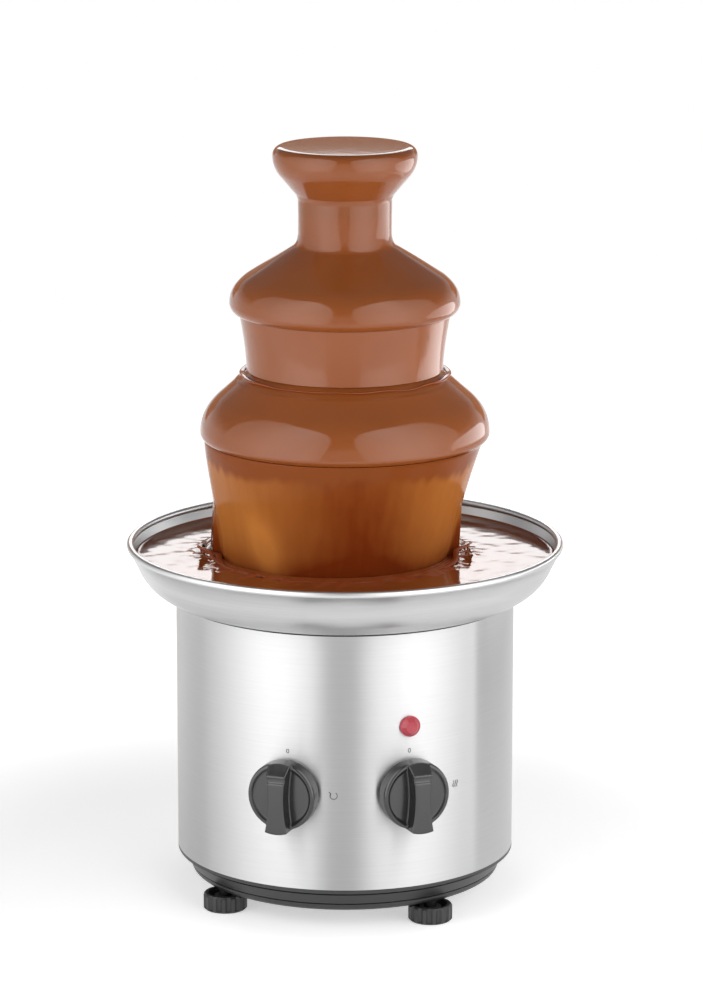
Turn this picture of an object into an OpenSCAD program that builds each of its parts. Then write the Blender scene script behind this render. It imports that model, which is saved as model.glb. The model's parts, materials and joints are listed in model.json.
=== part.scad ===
// Chocolate fountain: a heated bowl on a drum housing, with a screw pump
// that lifts chocolate up a column and lets it fall over two bell tiers.
// The front, with the two rotary switches, faces -Y. The floor is z = 0.

/* [Feet] */
// Diameter of a fluted levelling wheel
foot_d = 21; // [17:0.5:24]
// Height of a levelling wheel
foot_h = 8; // [6:0.5:12]
// Gap between a wheel and the base moulding at rest
foot_gap = 1.4; // [0.8:0.1:6]
// Diameter of the circle that the feet stand on
foot_circle_d = 141; // [128:1:142]
// Turn of the foot circle from the front, degrees
foot_turn = -11; // [-16:1:0]
// Diameter of the threaded stud of a foot
stud_d = 6; // [4:0.5:7]
// Number of flutes round a wheel
foot_flutes = 14; // [10:1:18]

/* [Base moulding] */
// Height of the dished side below the lip
base_h = 11; // [7:0.1:14]
// Diameter of the flat underside
base_bottom_d = 150; // [146:1:154]
// Height of the lip that the housing stands on
lip_h = 1.6; // [1.2:0.1:5]
// Wall of the moulding
base_t = 2.4; // [1.8:0.1:3]

/* [Housing] */
// Outer diameter of the sheet drum
housing_d = 163; // [160:1:166]
// Height of the sheet drum
housing_h = 123.6; // [118:0.5:150]
// Sheet thickness of the drum
housing_t = 0.8; // [0.6:0.1:1.5]
// Height of the sealing ring on the drum's top edge
gasket_h = 0.6; // [0.4:0.1:2]

/* [Bowl] */
// Diameter over the rolled rim
bowl_d = 210; // [204:1:230]
// Height from the flat underside to the top of the rim
bowl_h = 26.9; // [26:0.1:34]
// Sheet thickness of the bowl
bowl_t = 0.9; // [0.6:0.1:1.4]
// Diameter of the rolled rim bead
bead_d = 3.4; // [2.6:0.1:5]
// Outside radius of the lower corner
bowl_corner = 25; // [20:0.5:27]
// Lean of the wall from the vertical, degrees
bowl_lean = 22; // [16:1:26]
// Gap between the well that drops into the drum and the drum's inside
well_gap = 9.7; // [7:0.1:13]
// Depth of the well below the underside
well_depth = 18; // [14:0.5:22]

/* [Column] */
// Bore of the column
bore_d = 31.2; // [30:0.1:33]
// Outer diameter of the column's top, inside the crown
column_top_d = 35.8; // [35.6:0.1:37]
// Radial width of each seat shoulder on the column
seat_w = 0.9; // [0.7:0.1:1.1]
// Diameter of the foot flange
flange_d = 60; // [56:1:66]
// Thickness of the foot flange
flange_h = 4; // [3:0.5:6]
// Sliding clearance of the tiers on the column, on the radius
slide_fit = 0.15; // [0.1:0.05:0.25]

/* [Tiers] */
// Wall of the tiers and the crown
tier_t = 2; // [1.6:0.1:2.2]
// Diameter of the lower tier over the chocolate
lower_d = 138.8; // [132:0.2:144]
// Height of the lower tier's widest ring above the bowl floor
lower_z = 97.5; // [92:0.5:102]
// Slope of the lower tier's cone, degrees
lower_slope = 40; // [37:1:42]
// Diameter of the upper tier over the chocolate
upper_d = 109.8; // [104:0.2:114]
// Height of the upper tier's widest ring above the bowl floor
upper_z = 159.7; // [156:0.5:163]
// Slope of the upper tier's cone, degrees
upper_slope = 32; // [29:1:34]
// Diameter of the neck over the chocolate
neck_d = 44.4; // [43.6:0.2:46]
// Diameter of the crown over the chocolate
crown_d = 68.8; // [64:0.2:74]
// Height of the crown's widest ring above the bowl floor
crown_z = 230.3; // [229:0.5:236]

/* [Chocolate] */
// Thickness of the film on the tiers
film = 1.2; // [1:0.1:1.3]
// Thickness of the falling curtains
curtain_t = 1.2; // [0.8:0.1:2]
// Depth of the pool's surface below the rim
pool_drop = 7.4; // [5:0.1:10]
// Outer diameter of the lower curtain where it meets the pool
lower_curtain_d = 120; // [112:1:128]
// Outer diameter of the upper curtain where it lands
upper_curtain_d = 94; // [88:1:98]

/* [Auger] */
// Diameter over the flight
auger_d = 30; // [29:0.1:30.4]
// Diameter of the core
core_d = 17; // [16:0.5:19]
// Lead of the flight
auger_pitch = 30; // [22:1:40]
// Thickness of the flight
flight_t = 2.2; // [1.6:0.1:3]
// Width over corners of the hexagon drive
hex_d = 12; // [10:0.5:12.5]

/* [Switches and lamp] */
// Angle of each switch from the front, degrees
switch_angle = 20.5; // [19:0.5:25]
// Height of the switch axes above the housing's lower edge
switch_z = 47.5; // [40:0.5:60]
// Diameter of a knob
knob_d = 33; // [30:0.5:38]
// Reach of a knob from the drum
knob_reach = 17; // [15:0.5:22]
// Thickness of the knob's disc
knob_disc = 7.5; // [6:0.5:9]
// Width of the knob's grip bar at its ends
grip_w = 11; // [9:0.5:12]
// Diameter of the spindle
spindle_d = 6; // [5:0.5:6.5]
// Diameter of the lamp's lens
lamp_d = 10; // [8:0.5:12]
// Height of the lamp above the switch axes
lamp_rise = 31.5; // [28:0.5:40]

/* [Drive] */
// Gear module
gear_m = 0.9; // [0.8:0.05:0.95]
// Teeth on the motor pinion
pinion_n = 16; // [14:1:16]
// Teeth on the drive gear
gear_n = 64; // [60:2:64]
// Width of the gears
gear_w = 8; // [6:0.5:9]
// Diameter of the drive shaft
shaft_d = 8; // [7:0.5:8.5]
// Diameter of the motor
motor_d = 37; // [32:0.5:40]
// Length of the motor
motor_l = 50; // [40:1:54]
// Diameter of the tie rods
rod_d = 4; // [3:0.5:5]
// Diameter of the circle of tie rods
rod_circle_d = 112; // [108:1:116]

/* [Hidden] */
$fn = 96;

// Colours
steel_c = "silver";
black_c = "#202022";
dark_c = "#3a3a3c";
chocolate_c = "#8f5a3c";
curtain_c = "#9c5a28";
brass_c = "#c9a24a";
white_c = "#e8e6e0";

// Small clearances: pieces at rest, turning fits and soft faces
rest_gap = 0.05;
turn_fit = 0.06;
soft_gap = 0.3;
eps = 0.01;

// Radii of the drum and the bowl
housing_r = housing_d / 2;
inner_r = housing_r - housing_t;
bead_r = bead_d / 2;
well_r = inner_r - well_gap;
well_fillet = 7;
shoulder_fillet = 2.5;
bead_cr = bowl_d / 2 - bead_r;
bead_rise = bowl_h - bead_r - bowl_corner * (1 - sin(bowl_lean));
bowl_rc = bead_cr + bowl_t / 2 - bowl_corner * cos(bowl_lean) - tan(bowl_lean) * bead_rise;

// Levels from the floor up
z_base = foot_h + foot_gap;
z_floor = z_base + base_t;
z_lip = z_base + base_h;
z_shell = z_lip + lip_h;
z_shell_top = z_shell + housing_h;
corner_over = max(0, inner_r - bowl_rc);
z_bowl = z_shell_top + gasket_h - corner_over * corner_over / (2 * bowl_corner);
z_rim = z_bowl + bowl_h;
z_well = z_bowl - well_depth;
z_seat = z_well + bowl_t + rest_gap;
z_pool = z_rim - pool_drop;

// Shared profile helpers
function arc(c, r, a0, a1, n = 6, first = 0) =
    [for (i = [first : n]) c + r * [cos(a0 + (a1 - a0) * i / n), sin(a0 + (a1 - a0) * i / n)]];
function flip(v) = [for (i = [len(v) - 1 : -1 : 0]) v[i]];

module ring(r_out, r_in, h) {
    difference() {
        cylinder(r = r_out, h = h);
        translate([0, 0, -1]) cylinder(r = r_in, h = h + 2);
    }
}

// Feet

foot_r = foot_d / 2;
foot_circle_r = foot_circle_d / 2;
stud_r = stud_d / 2;
stud_bottom = 1.5;
foot_rim = 2.2;
foot_web = 2.6;
foot_edge = 0.8;
foot_hub = stud_r + 2.2;
flute_r = 1.6;
flute_set = 0.7;
boss_r = stud_r + 3.6;
boss_h = 16;

module at_foot(i) {
    rotate([0, 0, 45 + foot_turn + 90 * i]) translate([0, -foot_circle_r, 0]) children();
}

module foot_wheel(i) {
    color(black_c) at_foot(i) difference() {
        rotate_extrude() polygon([
            [0, 0], [foot_r - foot_edge, 0], [foot_r, foot_edge],
            [foot_r, foot_h - foot_edge], [foot_r - foot_edge, foot_h],
            [foot_r - foot_rim, foot_h], [foot_r - foot_rim - foot_edge, foot_web],
            [foot_hub, foot_web], [foot_hub, foot_h - foot_rim + foot_edge],
            [stud_r + turn_fit, foot_h - foot_rim + foot_edge],
            [stud_r + turn_fit, stud_bottom - rest_gap], [0, stud_bottom - rest_gap]
        ]);
        for (k = [0 : foot_flutes - 1]) rotate([0, 0, 360 * k / foot_flutes])
            translate([foot_r + flute_set, 0, foot_edge]) cylinder(r = flute_r, h = foot_h, $fn = 24);
    }
}

module foot_stud(i) {
    color(steel_c) at_foot(i) translate([0, 0, stud_bottom])
        cylinder(r = stud_r, h = z_base + boss_h - stud_bottom);
}

// Base moulding: a dished tray with a lip, a spigot inside the drum and bosses

base_bottom_r = base_bottom_d / 2;
base_edge = 3;
lip_step = 2;
dish_top_r = housing_r - lip_step;
groove_top = 1.2;
groove_low = 3.4;
base_groove = 0.7;
spigot_fit = 0.15;
spigot_h = 6;
nut_r = rod_d * 0.95 + 0.3;
nut_h = 3.2;
nut_recess = 0.25;
vent_n = 12;
vent_w = 3;
vent_r0 = 24;
vent_r1 = 42;
rod_r = rod_d / 2;
rod_boss_r = nut_r + 2.2;
rod_boss_h = nut_h + 4;
rod_fit = 0.15;

module at_rods() {
    for (k = [0 : 2]) rotate([0, 0, 120 * k]) translate([0, -rod_circle_d / 2, 0]) children();
}

// Radius of the dished side at height z, and a small V groove round it
function side_r(z) =
    base_bottom_r + (dish_top_r - base_bottom_r) * (z - z_base - base_edge) / (base_h - base_edge);
function side_groove(z) = [
    [side_r(z), z],
    [side_r(z) - base_groove, z + base_groove / 2],
    [side_r(z + base_groove), z + base_groove]
];
function base_side() = concat(
    arc([base_bottom_r - base_edge, z_base + base_edge], base_edge, -90, 0),
    side_groove(z_base + groove_low), side_groove(z_lip - groove_top - base_groove), [[dish_top_r, z_lip]]
);

// The base's outside, filled up to the top of the spigot, to hold what is inside it
module base_envelope() {
    top = z_base + boss_h + 1;
    rotate_extrude() polygon(concat([[0, z_base]], base_side(), [[dish_top_r, top], [0, top]]));
}

module base_plate() {
    spigot_r = inner_r - spigot_fit;
    color(black_c) difference() {
        union() {
            rotate_extrude() polygon(concat(
                [[0, z_base]],
                base_side(),
                [[housing_r, z_lip], [housing_r, z_shell],
                 [spigot_r, z_shell], [spigot_r, z_shell + spigot_h],
                 [spigot_r - base_t, z_shell + spigot_h], [spigot_r - base_t, z_shell],
                 [dish_top_r - base_t, z_lip]],
                flip(arc([base_bottom_r - base_edge, z_base + base_edge], base_edge - base_t, -90, 0)),
                [[0, z_floor]]
            ));
            intersection() {
                for (i = [0 : 3]) at_foot(i) translate([0, 0, z_base]) cylinder(r = boss_r, h = boss_h);
                base_envelope();
            }
            at_rods() translate([0, 0, z_base]) cylinder(r = rod_boss_r, h = rod_boss_h);
        }
        gland_notch(z_shell, spigot_h + 1);
        for (i = [0 : 3]) at_foot(i) translate([0, 0, z_base - 1])
            cylinder(r = stud_r + turn_fit, h = boss_h + 2);
        at_rods() translate([0, 0, z_base - 1]) {
            cylinder(r = rod_r + rod_fit, h = rod_boss_h + 2);
            cylinder(r = nut_r + nut_recess, h = nut_h + 1, $fn = 6);
        }
        for (k = [0 : vent_n - 1]) rotate([0, 0, 360 * (k + 0.5) / vent_n])
            translate([vent_r0, -vent_w / 2, z_base - 1])
                cube([vent_r1 - vent_r0, vent_w, base_t + 2]);
    }
}

// Drum

bush_r = spindle_d / 2 + 2;
hole_fit = 0.2;
lamp_body_r = lamp_d / 2 - 0.8;
gland_r = 8;
gland_bore = 4;
gland_seat = 0.3;
gland_z = z_shell + gland_r + gland_seat;
notch_depth = 12;
z_switch = z_shell + switch_z;
z_lamp = z_switch + lamp_rise;

// Local frame of a fitting in the drum wall: X right, Y up, Z out along the radius
module at_wall(angle, z) {
    rotate([0, 0, angle]) translate([0, 0, z]) rotate([90, 0, 0]) children();
}

module wall_hole(angle, z, r) {
    at_wall(angle, z) translate([0, 0, inner_r - 6]) cylinder(r = r, h = 12);
}

// Square slot at the back of a wall, open at the bottom, that the cord inlet slides up into
module gland_notch(z, h) {
    notch_r = gland_r + hole_fit;
    translate([-notch_r, inner_r - notch_depth / 2, z]) cube([2 * notch_r, notch_depth, h]);
}

module housing_shell() {
    color(steel_c) difference() {
        translate([0, 0, z_shell]) ring(housing_r, inner_r, housing_h);
        for (side = [-1, 1]) wall_hole(side * switch_angle, z_switch, bush_r + hole_fit);
        wall_hole(switch_angle, z_lamp, lamp_body_r + hole_fit);
        gland_notch(z_shell - 1, gland_z + gland_r + hole_fit - z_shell + 1);
    }
}

module bowl_gasket() {
    color(black_c) translate([0, 0, z_shell_top]) ring(housing_r, inner_r, gasket_h - 2 * rest_gap);
}

// Bowl: well, shoulder, rounded corner, leaning wall and rolled rim

bush_body_r = shaft_d / 2 + 3.5;
bush_flange_r = bush_body_r + 3;

// The bowl's sheet line, offset inwards by s from the outside
function bowl_line(s) = concat(
    arc([well_r - well_fillet, z_well + well_fillet], well_fillet - s, -90, 0),
    arc([well_r + shoulder_fillet, z_bowl - shoulder_fillet], shoulder_fillet + s, 180, 90, 5),
    arc([bowl_rc, z_bowl + bowl_corner], bowl_corner - s, -90, -bowl_lean, 8)
);

module bowl() {
    wall_top = z_rim - bead_r;
    color(steel_c) union() {
        rotate_extrude() polygon(concat(
            [[bush_body_r + hole_fit, z_well]],
            bowl_line(0),
            [[bead_cr + bowl_t / 2, wall_top], [bead_cr - bowl_t / 2, wall_top]],
            flip(bowl_line(bowl_t)),
            [[bush_body_r + hole_fit, z_well + bowl_t]]
        ));
        translate([0, 0, wall_top]) rotate_extrude() translate([bead_cr, 0]) circle(r = bead_r);
    }
}

pin_r = 2;
pin_h = 6;
pin_fit = 0.25;
pin_circle_r = (bore_d / 2 + flange_d / 2) / 2 + 2;

module at_pins() {
    for (k = [0 : 2]) rotate([0, 0, 120 * k + 60]) translate([0, -pin_circle_r, 0]) children();
}

module bowl_pins() {
    color(steel_c) at_pins() translate([0, 0, z_well + bowl_t]) cylinder(r = pin_r, h = pin_h);
}

// Tie rods that clamp the bowl, drum and base together and carry the motor bracket

bracket_t = 2;
bracket_drop = 28;
bracket_r = rod_circle_d / 2 + 7;
z_bracket = z_well - bracket_drop;
sleeve_r = rod_r + 1.8;
z_nut = z_base;

module tie_rods() {
    color(steel_c) at_rods() translate([0, 0, z_nut])
        cylinder(r = rod_r, h = z_well - rest_gap - z_nut);
}

module rod_sleeves() {
    color(steel_c) at_rods() translate([0, 0, z_bracket + bracket_t])
        ring(sleeve_r, rod_r + rest_gap, z_well - rest_gap - z_bracket - bracket_t);
}

module rod_nut() {
    difference() {
        cylinder(r = nut_r, h = nut_h - rest_gap, $fn = 6);
        translate([0, 0, -1]) cylinder(r = rod_r + rest_gap, h = nut_h + 2);
    }
}

module rod_nuts() {
    color(steel_c) at_rods() {
        translate([0, 0, z_nut]) rod_nut();
        translate([0, 0, z_bracket - nut_h]) rod_nut();
    }
}

// Gearbox layout: the drive gear on the axis, the pinion behind it

gear_r = gear_m * gear_n / 2;
pinion_r = gear_m * pinion_n / 2;
centre_d = gear_r + pinion_r;
addendum = 0.8 * gear_m;
dedendum = 1.1 * gear_m;
backlash = 0.16;
pressure = 20;
case_t = 2.5;
case_gap = 1.2;
cover_t = 2;
cavity_r = gear_r + addendum + case_gap;
case_r = cavity_r + case_t + 1.4;
motor_r = motor_d / 2;
pad_r = motor_r + 1.5;
screw_r = 1.5;
screw_boss_r = 5;
screw_head_r = 3;
screw_head_h = 2;
case_h = gear_w + 2 * case_gap + case_t;
z_cover = z_bracket - cover_t;
z_case = z_cover - case_h;
z_gear = z_case + case_t + case_gap;
screw_circle_r = (cavity_r + case_r + screw_r) / 2 + 1.2;
screw_angles = [35, 145, 215, 325];

module at_screws() {
    for (a = screw_angles) rotate([0, 0, a]) translate([screw_circle_r + 1, 0, 0]) children();
}

module case_outline() {
    circle(r = case_r);
    translate([0, centre_d]) circle(r = pad_r);
    for (a = screw_angles) rotate(a) translate([screw_circle_r + 1, 0]) circle(r = screw_boss_r);
}

module screw_holes(z, h) {
    at_screws() translate([0, 0, z - 1]) cylinder(r = screw_r + rest_gap, h = h + 2);
}

module shaft_hole(z, h) {
    translate([0, 0, z - 1]) cylinder(r = shaft_d / 2 + turn_fit, h = h + 2);
}

module gearbox_case() {
    color(dark_c) difference() {
        translate([0, 0, z_case]) linear_extrude(case_h - rest_gap) case_outline();
        translate([0, 0, z_case + case_t]) {
            cylinder(r = cavity_r, h = case_h);
            translate([0, centre_d, 0]) cylinder(r = pinion_r + addendum + case_gap, h = case_h);
        }
        shaft_hole(z_case, case_t);
        translate([0, centre_d, z_case - 1]) cylinder(r = motor_shaft_r + 1.5, h = case_t + 2);
        screw_holes(z_case + case_t, case_h);
    }
}

module gearbox_cover() {
    color(dark_c) difference() {
        translate([0, 0, z_cover]) linear_extrude(cover_t - rest_gap) case_outline();
        shaft_hole(z_cover, cover_t);
        screw_holes(z_cover, cover_t);
    }
}

module gearbox_screws() {
    color(steel_c) at_screws() {
        translate([0, 0, z_case + case_t])
            cylinder(r = screw_r, h = z_bracket + bracket_t - z_case - case_t + eps);
        translate([0, 0, z_bracket + bracket_t + eps]) cylinder(r = screw_head_r, h = screw_head_h);
    }
}

module motor_bracket() {
    color(steel_c) difference() {
        translate([0, 0, z_bracket]) cylinder(r = bracket_r, h = bracket_t - rest_gap);
        at_rods() translate([0, 0, z_bracket - 1]) cylinder(r = rod_r + rest_gap, h = bracket_t + 2);
        shaft_hole(z_bracket, bracket_t);
        screw_holes(z_bracket, bracket_t);
        for (a = [90, 210, 330]) rotate([0, 0, a]) translate([bracket_r - 4, 0, z_bracket - 1])
            cylinder(r = 11, h = bracket_t + 2);
    }
}

// Involute teeth: half the tooth angle at radius r of a gear with n teeth
function inv(a) = tan(a) * 180 / PI - a;
function half_tooth(n, r) =
    let (rp = gear_m * n / 2, rb = rp * cos(pressure))
    90 / n - backlash / 2 / rp * 180 / PI + inv(pressure) - inv(acos(min(1, rb / max(r, rb))));
function gear_outline(n) =
    let (
        rp = gear_m * n / 2,
        radii = [rp - dedendum, max(rp - dedendum, rp * cos(pressure)) + eps, rp, rp + addendum]
    )
    [for (k = [0 : n - 1], side = [-1, 1], j = [0 : 3])
        let (i = side < 0 ? j : 3 - j, a = 360 * k / n + side * half_tooth(n, radii[i]))
        radii[i] * [cos(a), sin(a)]];

module drive_gear() {
    color(white_c) translate([0, 0, z_gear]) difference() {
        linear_extrude(gear_w) polygon(gear_outline(gear_n));
        translate([0, 0, -1]) cylinder(r = shaft_d / 2 + eps, h = gear_w + 2);
        translate([0, 0, gear_w - 2]) ring(gear_r - 4, shaft_d / 2 + 5, 3);
    }
}

motor_shaft_r = 1.6;
motor_wall = 0.8;
magnet_t = 2;
air_gap = 0.6;
cap_h = 4;
z_motor = z_case - rest_gap;
motor_top = 2;
magnet_rise = 6;
armature_rise = 7;
armature_l = motor_l - cap_h - 2 * armature_rise - 2 * motor_top;
armature_r = motor_r - motor_wall - magnet_t - air_gap - 2 * rest_gap;

module at_motor() {
    translate([0, centre_d, 0]) children();
}

module motor_pinion() {
    color(brass_c) at_motor() translate([0, 0, z_gear]) difference() {
        rotate([0, 0, 180 / pinion_n]) linear_extrude(gear_w) polygon(gear_outline(pinion_n));
        translate([0, 0, -1]) cylinder(r = motor_shaft_r + eps, h = gear_w + 2);
    }
}

module motor_can() {
    color(steel_c) at_motor() difference() {
        translate([0, 0, z_motor - motor_l]) cylinder(r = motor_r, h = motor_l);
        translate([0, 0, z_motor - motor_l - 1])
            cylinder(r = motor_r - motor_wall, h = motor_l + 1 - motor_top);
        translate([0, 0, z_motor - 2 * motor_top])
            cylinder(r = motor_shaft_r + turn_fit, h = 3 * motor_top);
    }
}

module motor_end_cap() {
    color(black_c) at_motor() translate([0, 0, z_motor - motor_l])
        ring(motor_r - motor_wall - rest_gap, motor_shaft_r + turn_fit, cap_h);
}

module motor_magnets() {
    r_out = motor_r - motor_wall - rest_gap;
    color(dark_c) at_motor() translate([0, 0, z_motor - motor_l + cap_h + magnet_rise])
        ring(r_out, r_out - magnet_t, armature_l + 2 * (armature_rise - magnet_rise));
}

module motor_armature() {
    color(brass_c) at_motor() {
        translate([0, 0, z_motor - motor_l + cap_h + armature_rise])
            cylinder(r = armature_r, h = armature_l);
        translate([0, 0, z_motor - motor_l + 1])
            cylinder(r = motor_shaft_r, h = z_gear + gear_w - z_motor + motor_l - 1);
    }
}

// Heater under the bowl's well

heater_t = 3;
heater_r = rod_circle_d / 2 - sleeve_r - 2;
element_r = 3.2;
element_ring_r = heater_r - 10;
element_turn = 320;
pin_inset = 4;
terminal_l = 12;
z_heater = z_well - rest_gap - heater_t;
bush_nut_h = 5;

module heater_plate() {
    color("gainsboro") translate([0, 0, z_heater]) ring(heater_r, bush_body_r + hole_fit, heater_t);
}

module heating_element() {
    color(dark_c) translate([0, 0, z_heater - element_r - rest_gap]) {
        rotate([0, 0, 90 + (360 - element_turn) / 2]) rotate_extrude(angle = element_turn)
            translate([element_ring_r, 0]) circle(r = element_r);
        for (side = [-1, 1]) rotate([0, 0, 90 + side * ((360 - element_turn) / 2 + pin_inset)])
            translate([element_ring_r, 0, -terminal_l]) cylinder(r = element_r / 2, h = terminal_l);
    }
}

thermostat_r = 8;
thermostat_h = 7;
tab_w = 6;

module thermostat() {
    place_r = (bush_body_r + element_ring_r) / 2;
    color(dark_c) rotate([0, 0, -30]) translate([place_r, 0, z_heater - rest_gap - thermostat_h]) {
        cylinder(r = thermostat_r, h = thermostat_h);
        for (side = [-1, 1]) translate([-tab_w / 2, side * 5 - 0.4, -6]) cube([tab_w, 0.8, 6 + eps]);
    }
}

// Drive shaft, bush, seal and hexagon

bush_flange_h = 2.3;
seal_h = 4.5;
hex_h = 10;
z_bush_top = z_well + bowl_t + bush_flange_h;
z_hex = z_bush_top + seal_h + 1.2;

module shaft_bush() {
    color(brass_c) difference() {
        union() {
            translate([0, 0, z_heater - bush_nut_h - 1])
                cylinder(r = bush_body_r, h = z_bush_top - z_heater + bush_nut_h + 1);
            translate([0, 0, z_well + bowl_t + rest_gap])
                cylinder(r = bush_flange_r, h = bush_flange_h - rest_gap);
        }
        shaft_hole(z_heater - bush_nut_h - 1, z_bush_top - z_heater + bush_nut_h + 1);
    }
}

module bush_nut() {
    color(brass_c) translate([0, 0, z_heater - bush_nut_h]) difference() {
        cylinder(r = bush_body_r + 4, h = bush_nut_h - rest_gap, $fn = 6);
        translate([0, 0, -1]) cylinder(r = bush_body_r + rest_gap, h = bush_nut_h + 2);
    }
}

module shaft_seal() {
    color(black_c) translate([0, 0, z_bush_top + rest_gap]) difference() {
        rotate_extrude() polygon([
            [shaft_d / 2 + turn_fit, 0], [bush_body_r, 0], [bush_body_r, seal_h * 0.5],
            [shaft_d / 2 + 1.2, seal_h], [shaft_d / 2 + turn_fit, seal_h]
        ]);
    }
}

module drive_shaft() {
    color(steel_c) translate([0, 0, z_case + 0.3])
        cylinder(r = shaft_d / 2, h = z_hex + hex_h - z_case - 0.3);
}

module drive_hex() {
    color(steel_c) translate([0, 0, z_hex]) difference() {
        cylinder(r = hex_d / 2, h = hex_h, $fn = 6);
        translate([0, 0, -1]) cylinder(r = shaft_d / 2 + eps, h = hex_h + 2);
    }
}

// Column: stepped tube with three seats, a foot flange and intake windows

z_lower = z_seat + lower_z;
z_upper = z_seat + upper_z;
z_crown = z_seat + crown_z;
bore_r = bore_d / 2;
column_r = [for (k = [0 : 3]) column_top_d / 2 + (3 - k) * seat_w];
seat_lower_rise = 12;
seat_upper_rise = 9.5;
seat_crown_rise = 49.4;
column_drop = 10;
seat_lower = z_lower + seat_lower_rise;
seat_upper = z_upper + seat_upper_rise;
seat_crown = z_upper + seat_crown_rise;
z_column_top = z_crown - column_drop;
window_w = 16;
window_h = 14;
window_rise = 2;
window_n = 3;

module column_tube() {
    color(white_c) difference() {
        rotate_extrude() polygon([
            [bore_r, z_seat], [flange_d / 2, z_seat], [flange_d / 2, z_seat + flange_h],
            [column_r[0], z_seat + flange_h], [column_r[0], seat_lower],
            [column_r[1], seat_lower], [column_r[1], seat_upper],
            [column_r[2], seat_upper], [column_r[2], seat_crown],
            [column_r[3], seat_crown], [column_r[3], z_column_top], [bore_r, z_column_top]
        ]);
        for (k = [0 : window_n - 1]) rotate([0, 0, 120 * k])
            translate([-window_w / 2, -column_r[0] - 3, z_seat + flange_h + window_rise])
                cube([window_w, column_r[0] - bore_r + 8, window_h]);
        at_pins() translate([0, 0, z_seat - 1]) cylinder(r = pin_r + pin_fit, h = flange_h + 2);
    }
}

// Tiers: a bell with a curled lip, a big shoulder, a cone and a filleted neck.
// [radius, height, shoulder radius, lip radius, slope] of each, over the chocolate

lower_shoulder = 24;
lower_lip = 3.6;
upper_shoulder = 16.6;
upper_lip = 5;
lower = [lower_d / 2, z_lower, lower_shoulder, lower_lip, lower_slope];
upper = [upper_d / 2, z_upper, upper_shoulder, upper_lip, upper_slope];
neck_r = neck_d / 2;
neck_fillet = 7;
tier_gap = 0.3;
tier_skin = film + rest_gap;
neck_top_lower = seat_upper - tier_gap;
neck_top_upper = seat_crown - tier_gap;

// Where the cone's line sits along its normal, for a tier t offset inwards by s
function cone_level(t, s) = (t[0] - t[2]) * sin(t[4]) + t[1] * cos(t[4]) + t[2] - s;
function cone_z(t, s, r) = (cone_level(t, s) - r * sin(t[4])) / cos(t[4]);
function bell_line(t, s) = concat(
    arc([t[0] - t[3], t[1]], t[3] - s, -90, 0, 5),
    arc([t[0] - t[2], t[1]], t[2] - s, 0, 90 - t[4], 8, 1)
);
function neck_z(t) = (cone_level(t, 0) + neck_fillet - (neck_r + neck_fillet) * sin(t[4])) / cos(t[4]);
function neck_line(t, s, top) = concat(
    arc([neck_r + neck_fillet, neck_z(t)], neck_fillet + s, 270 - t[4], 180, 5),
    [[neck_r - s, max(top, neck_z(t) + 1)]]
);

// A tier seats on the column at height seat, with a hub that ends at height top
module tier(t, fit_r, seat, top) {
    hub_r = neck_r - tier_skin;
    hub_top = max(top, neck_z(t) + 1);
    rotate_extrude() polygon(concat(
        bell_line(t, tier_skin), neck_line(t, tier_skin, top),
        [[fit_r + slide_fit, hub_top], [fit_r + slide_fit, seat + rest_gap], [hub_r, seat + rest_gap],
         [hub_r, cone_z(t, tier_skin + tier_t, hub_r)]],
        flip(bell_line(t, tier_skin + tier_t))
    ));
}

module coat(t, top) {
    rotate_extrude() polygon(concat(
        bell_line(t, 0), neck_line(t, 0, top), flip(neck_line(t, film, top)), flip(bell_line(t, film))
    ));
}

// A falling sheet from radius r1 at z1 to radius r0 at z0, drawn in as it falls.
// Its foot is cut to the slope that it lands on
module curtain(r0, z0, r1, z1, power, foot_slope) {
    n = 10;
    function sheet_r(u) = r0 + (r1 - r0) * pow(u, power);
    rotate_extrude() polygon(concat(
        [for (i = [0 : n]) [sheet_r(i / n), z0 + (z1 - z0) * i / n]],
        [for (i = [n : -1 : 1]) [sheet_r(i / n) - curtain_t, z0 + (z1 - z0) * i / n]],
        [[r0 - curtain_t, z0 + curtain_t * tan(foot_slope)]]
    ));
}

module lower_tier() {
    color(white_c) tier(lower, column_r[1], seat_lower, neck_top_lower);
}

module upper_tier() {
    color(white_c) tier(upper, column_r[2], seat_upper, neck_top_upper);
}

module lower_coat() {
    color(chocolate_c) coat(lower, neck_top_lower);
}

module upper_coat() {
    color(chocolate_c) coat(upper, neck_top_upper);
}

lower_lip_r = lower[0] - lower[3] + curtain_t;
upper_lip_r = upper[0] - upper[3] + curtain_t / 2;

module lower_curtain() {
    z_lip_end = z_lower - lower[3] - rest_gap;
    color(curtain_c) curtain(lower_curtain_d / 2, z_pool + soft_gap, lower_lip_r, z_lip_end, 2, 0);
}

module upper_curtain() {
    r0 = upper_curtain_d / 2;
    z_lip_end = z_upper - upper[3] - rest_gap;
    color(chocolate_c) curtain(r0, cone_z(lower, 0, r0) + soft_gap, upper_lip_r, z_lip_end,
        1.5, lower_slope);
}

// Crown: an open cup on a flared stem, brimming with chocolate

crown_r = crown_d / 2;
crown_belly = 15;
crown_lip = 4.4;
crown_flare = 35.5;
crown_floor = 6;

// The cup's outside, offset inwards by s, from the stem to the lip's outer edge
function crown_side(s) = concat(
    [[neck_r - s, z_crown_stem]],
    arc([crown_r - crown_belly, z_crown], crown_belly - s, -crown_flare, 0)
);
z_crown_stem = seat_crown + rest_gap;
crown_hub_r = column_r[3] + slide_fit;
z_cup_rim = z_crown + crown_lip - 2.4;

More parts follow.
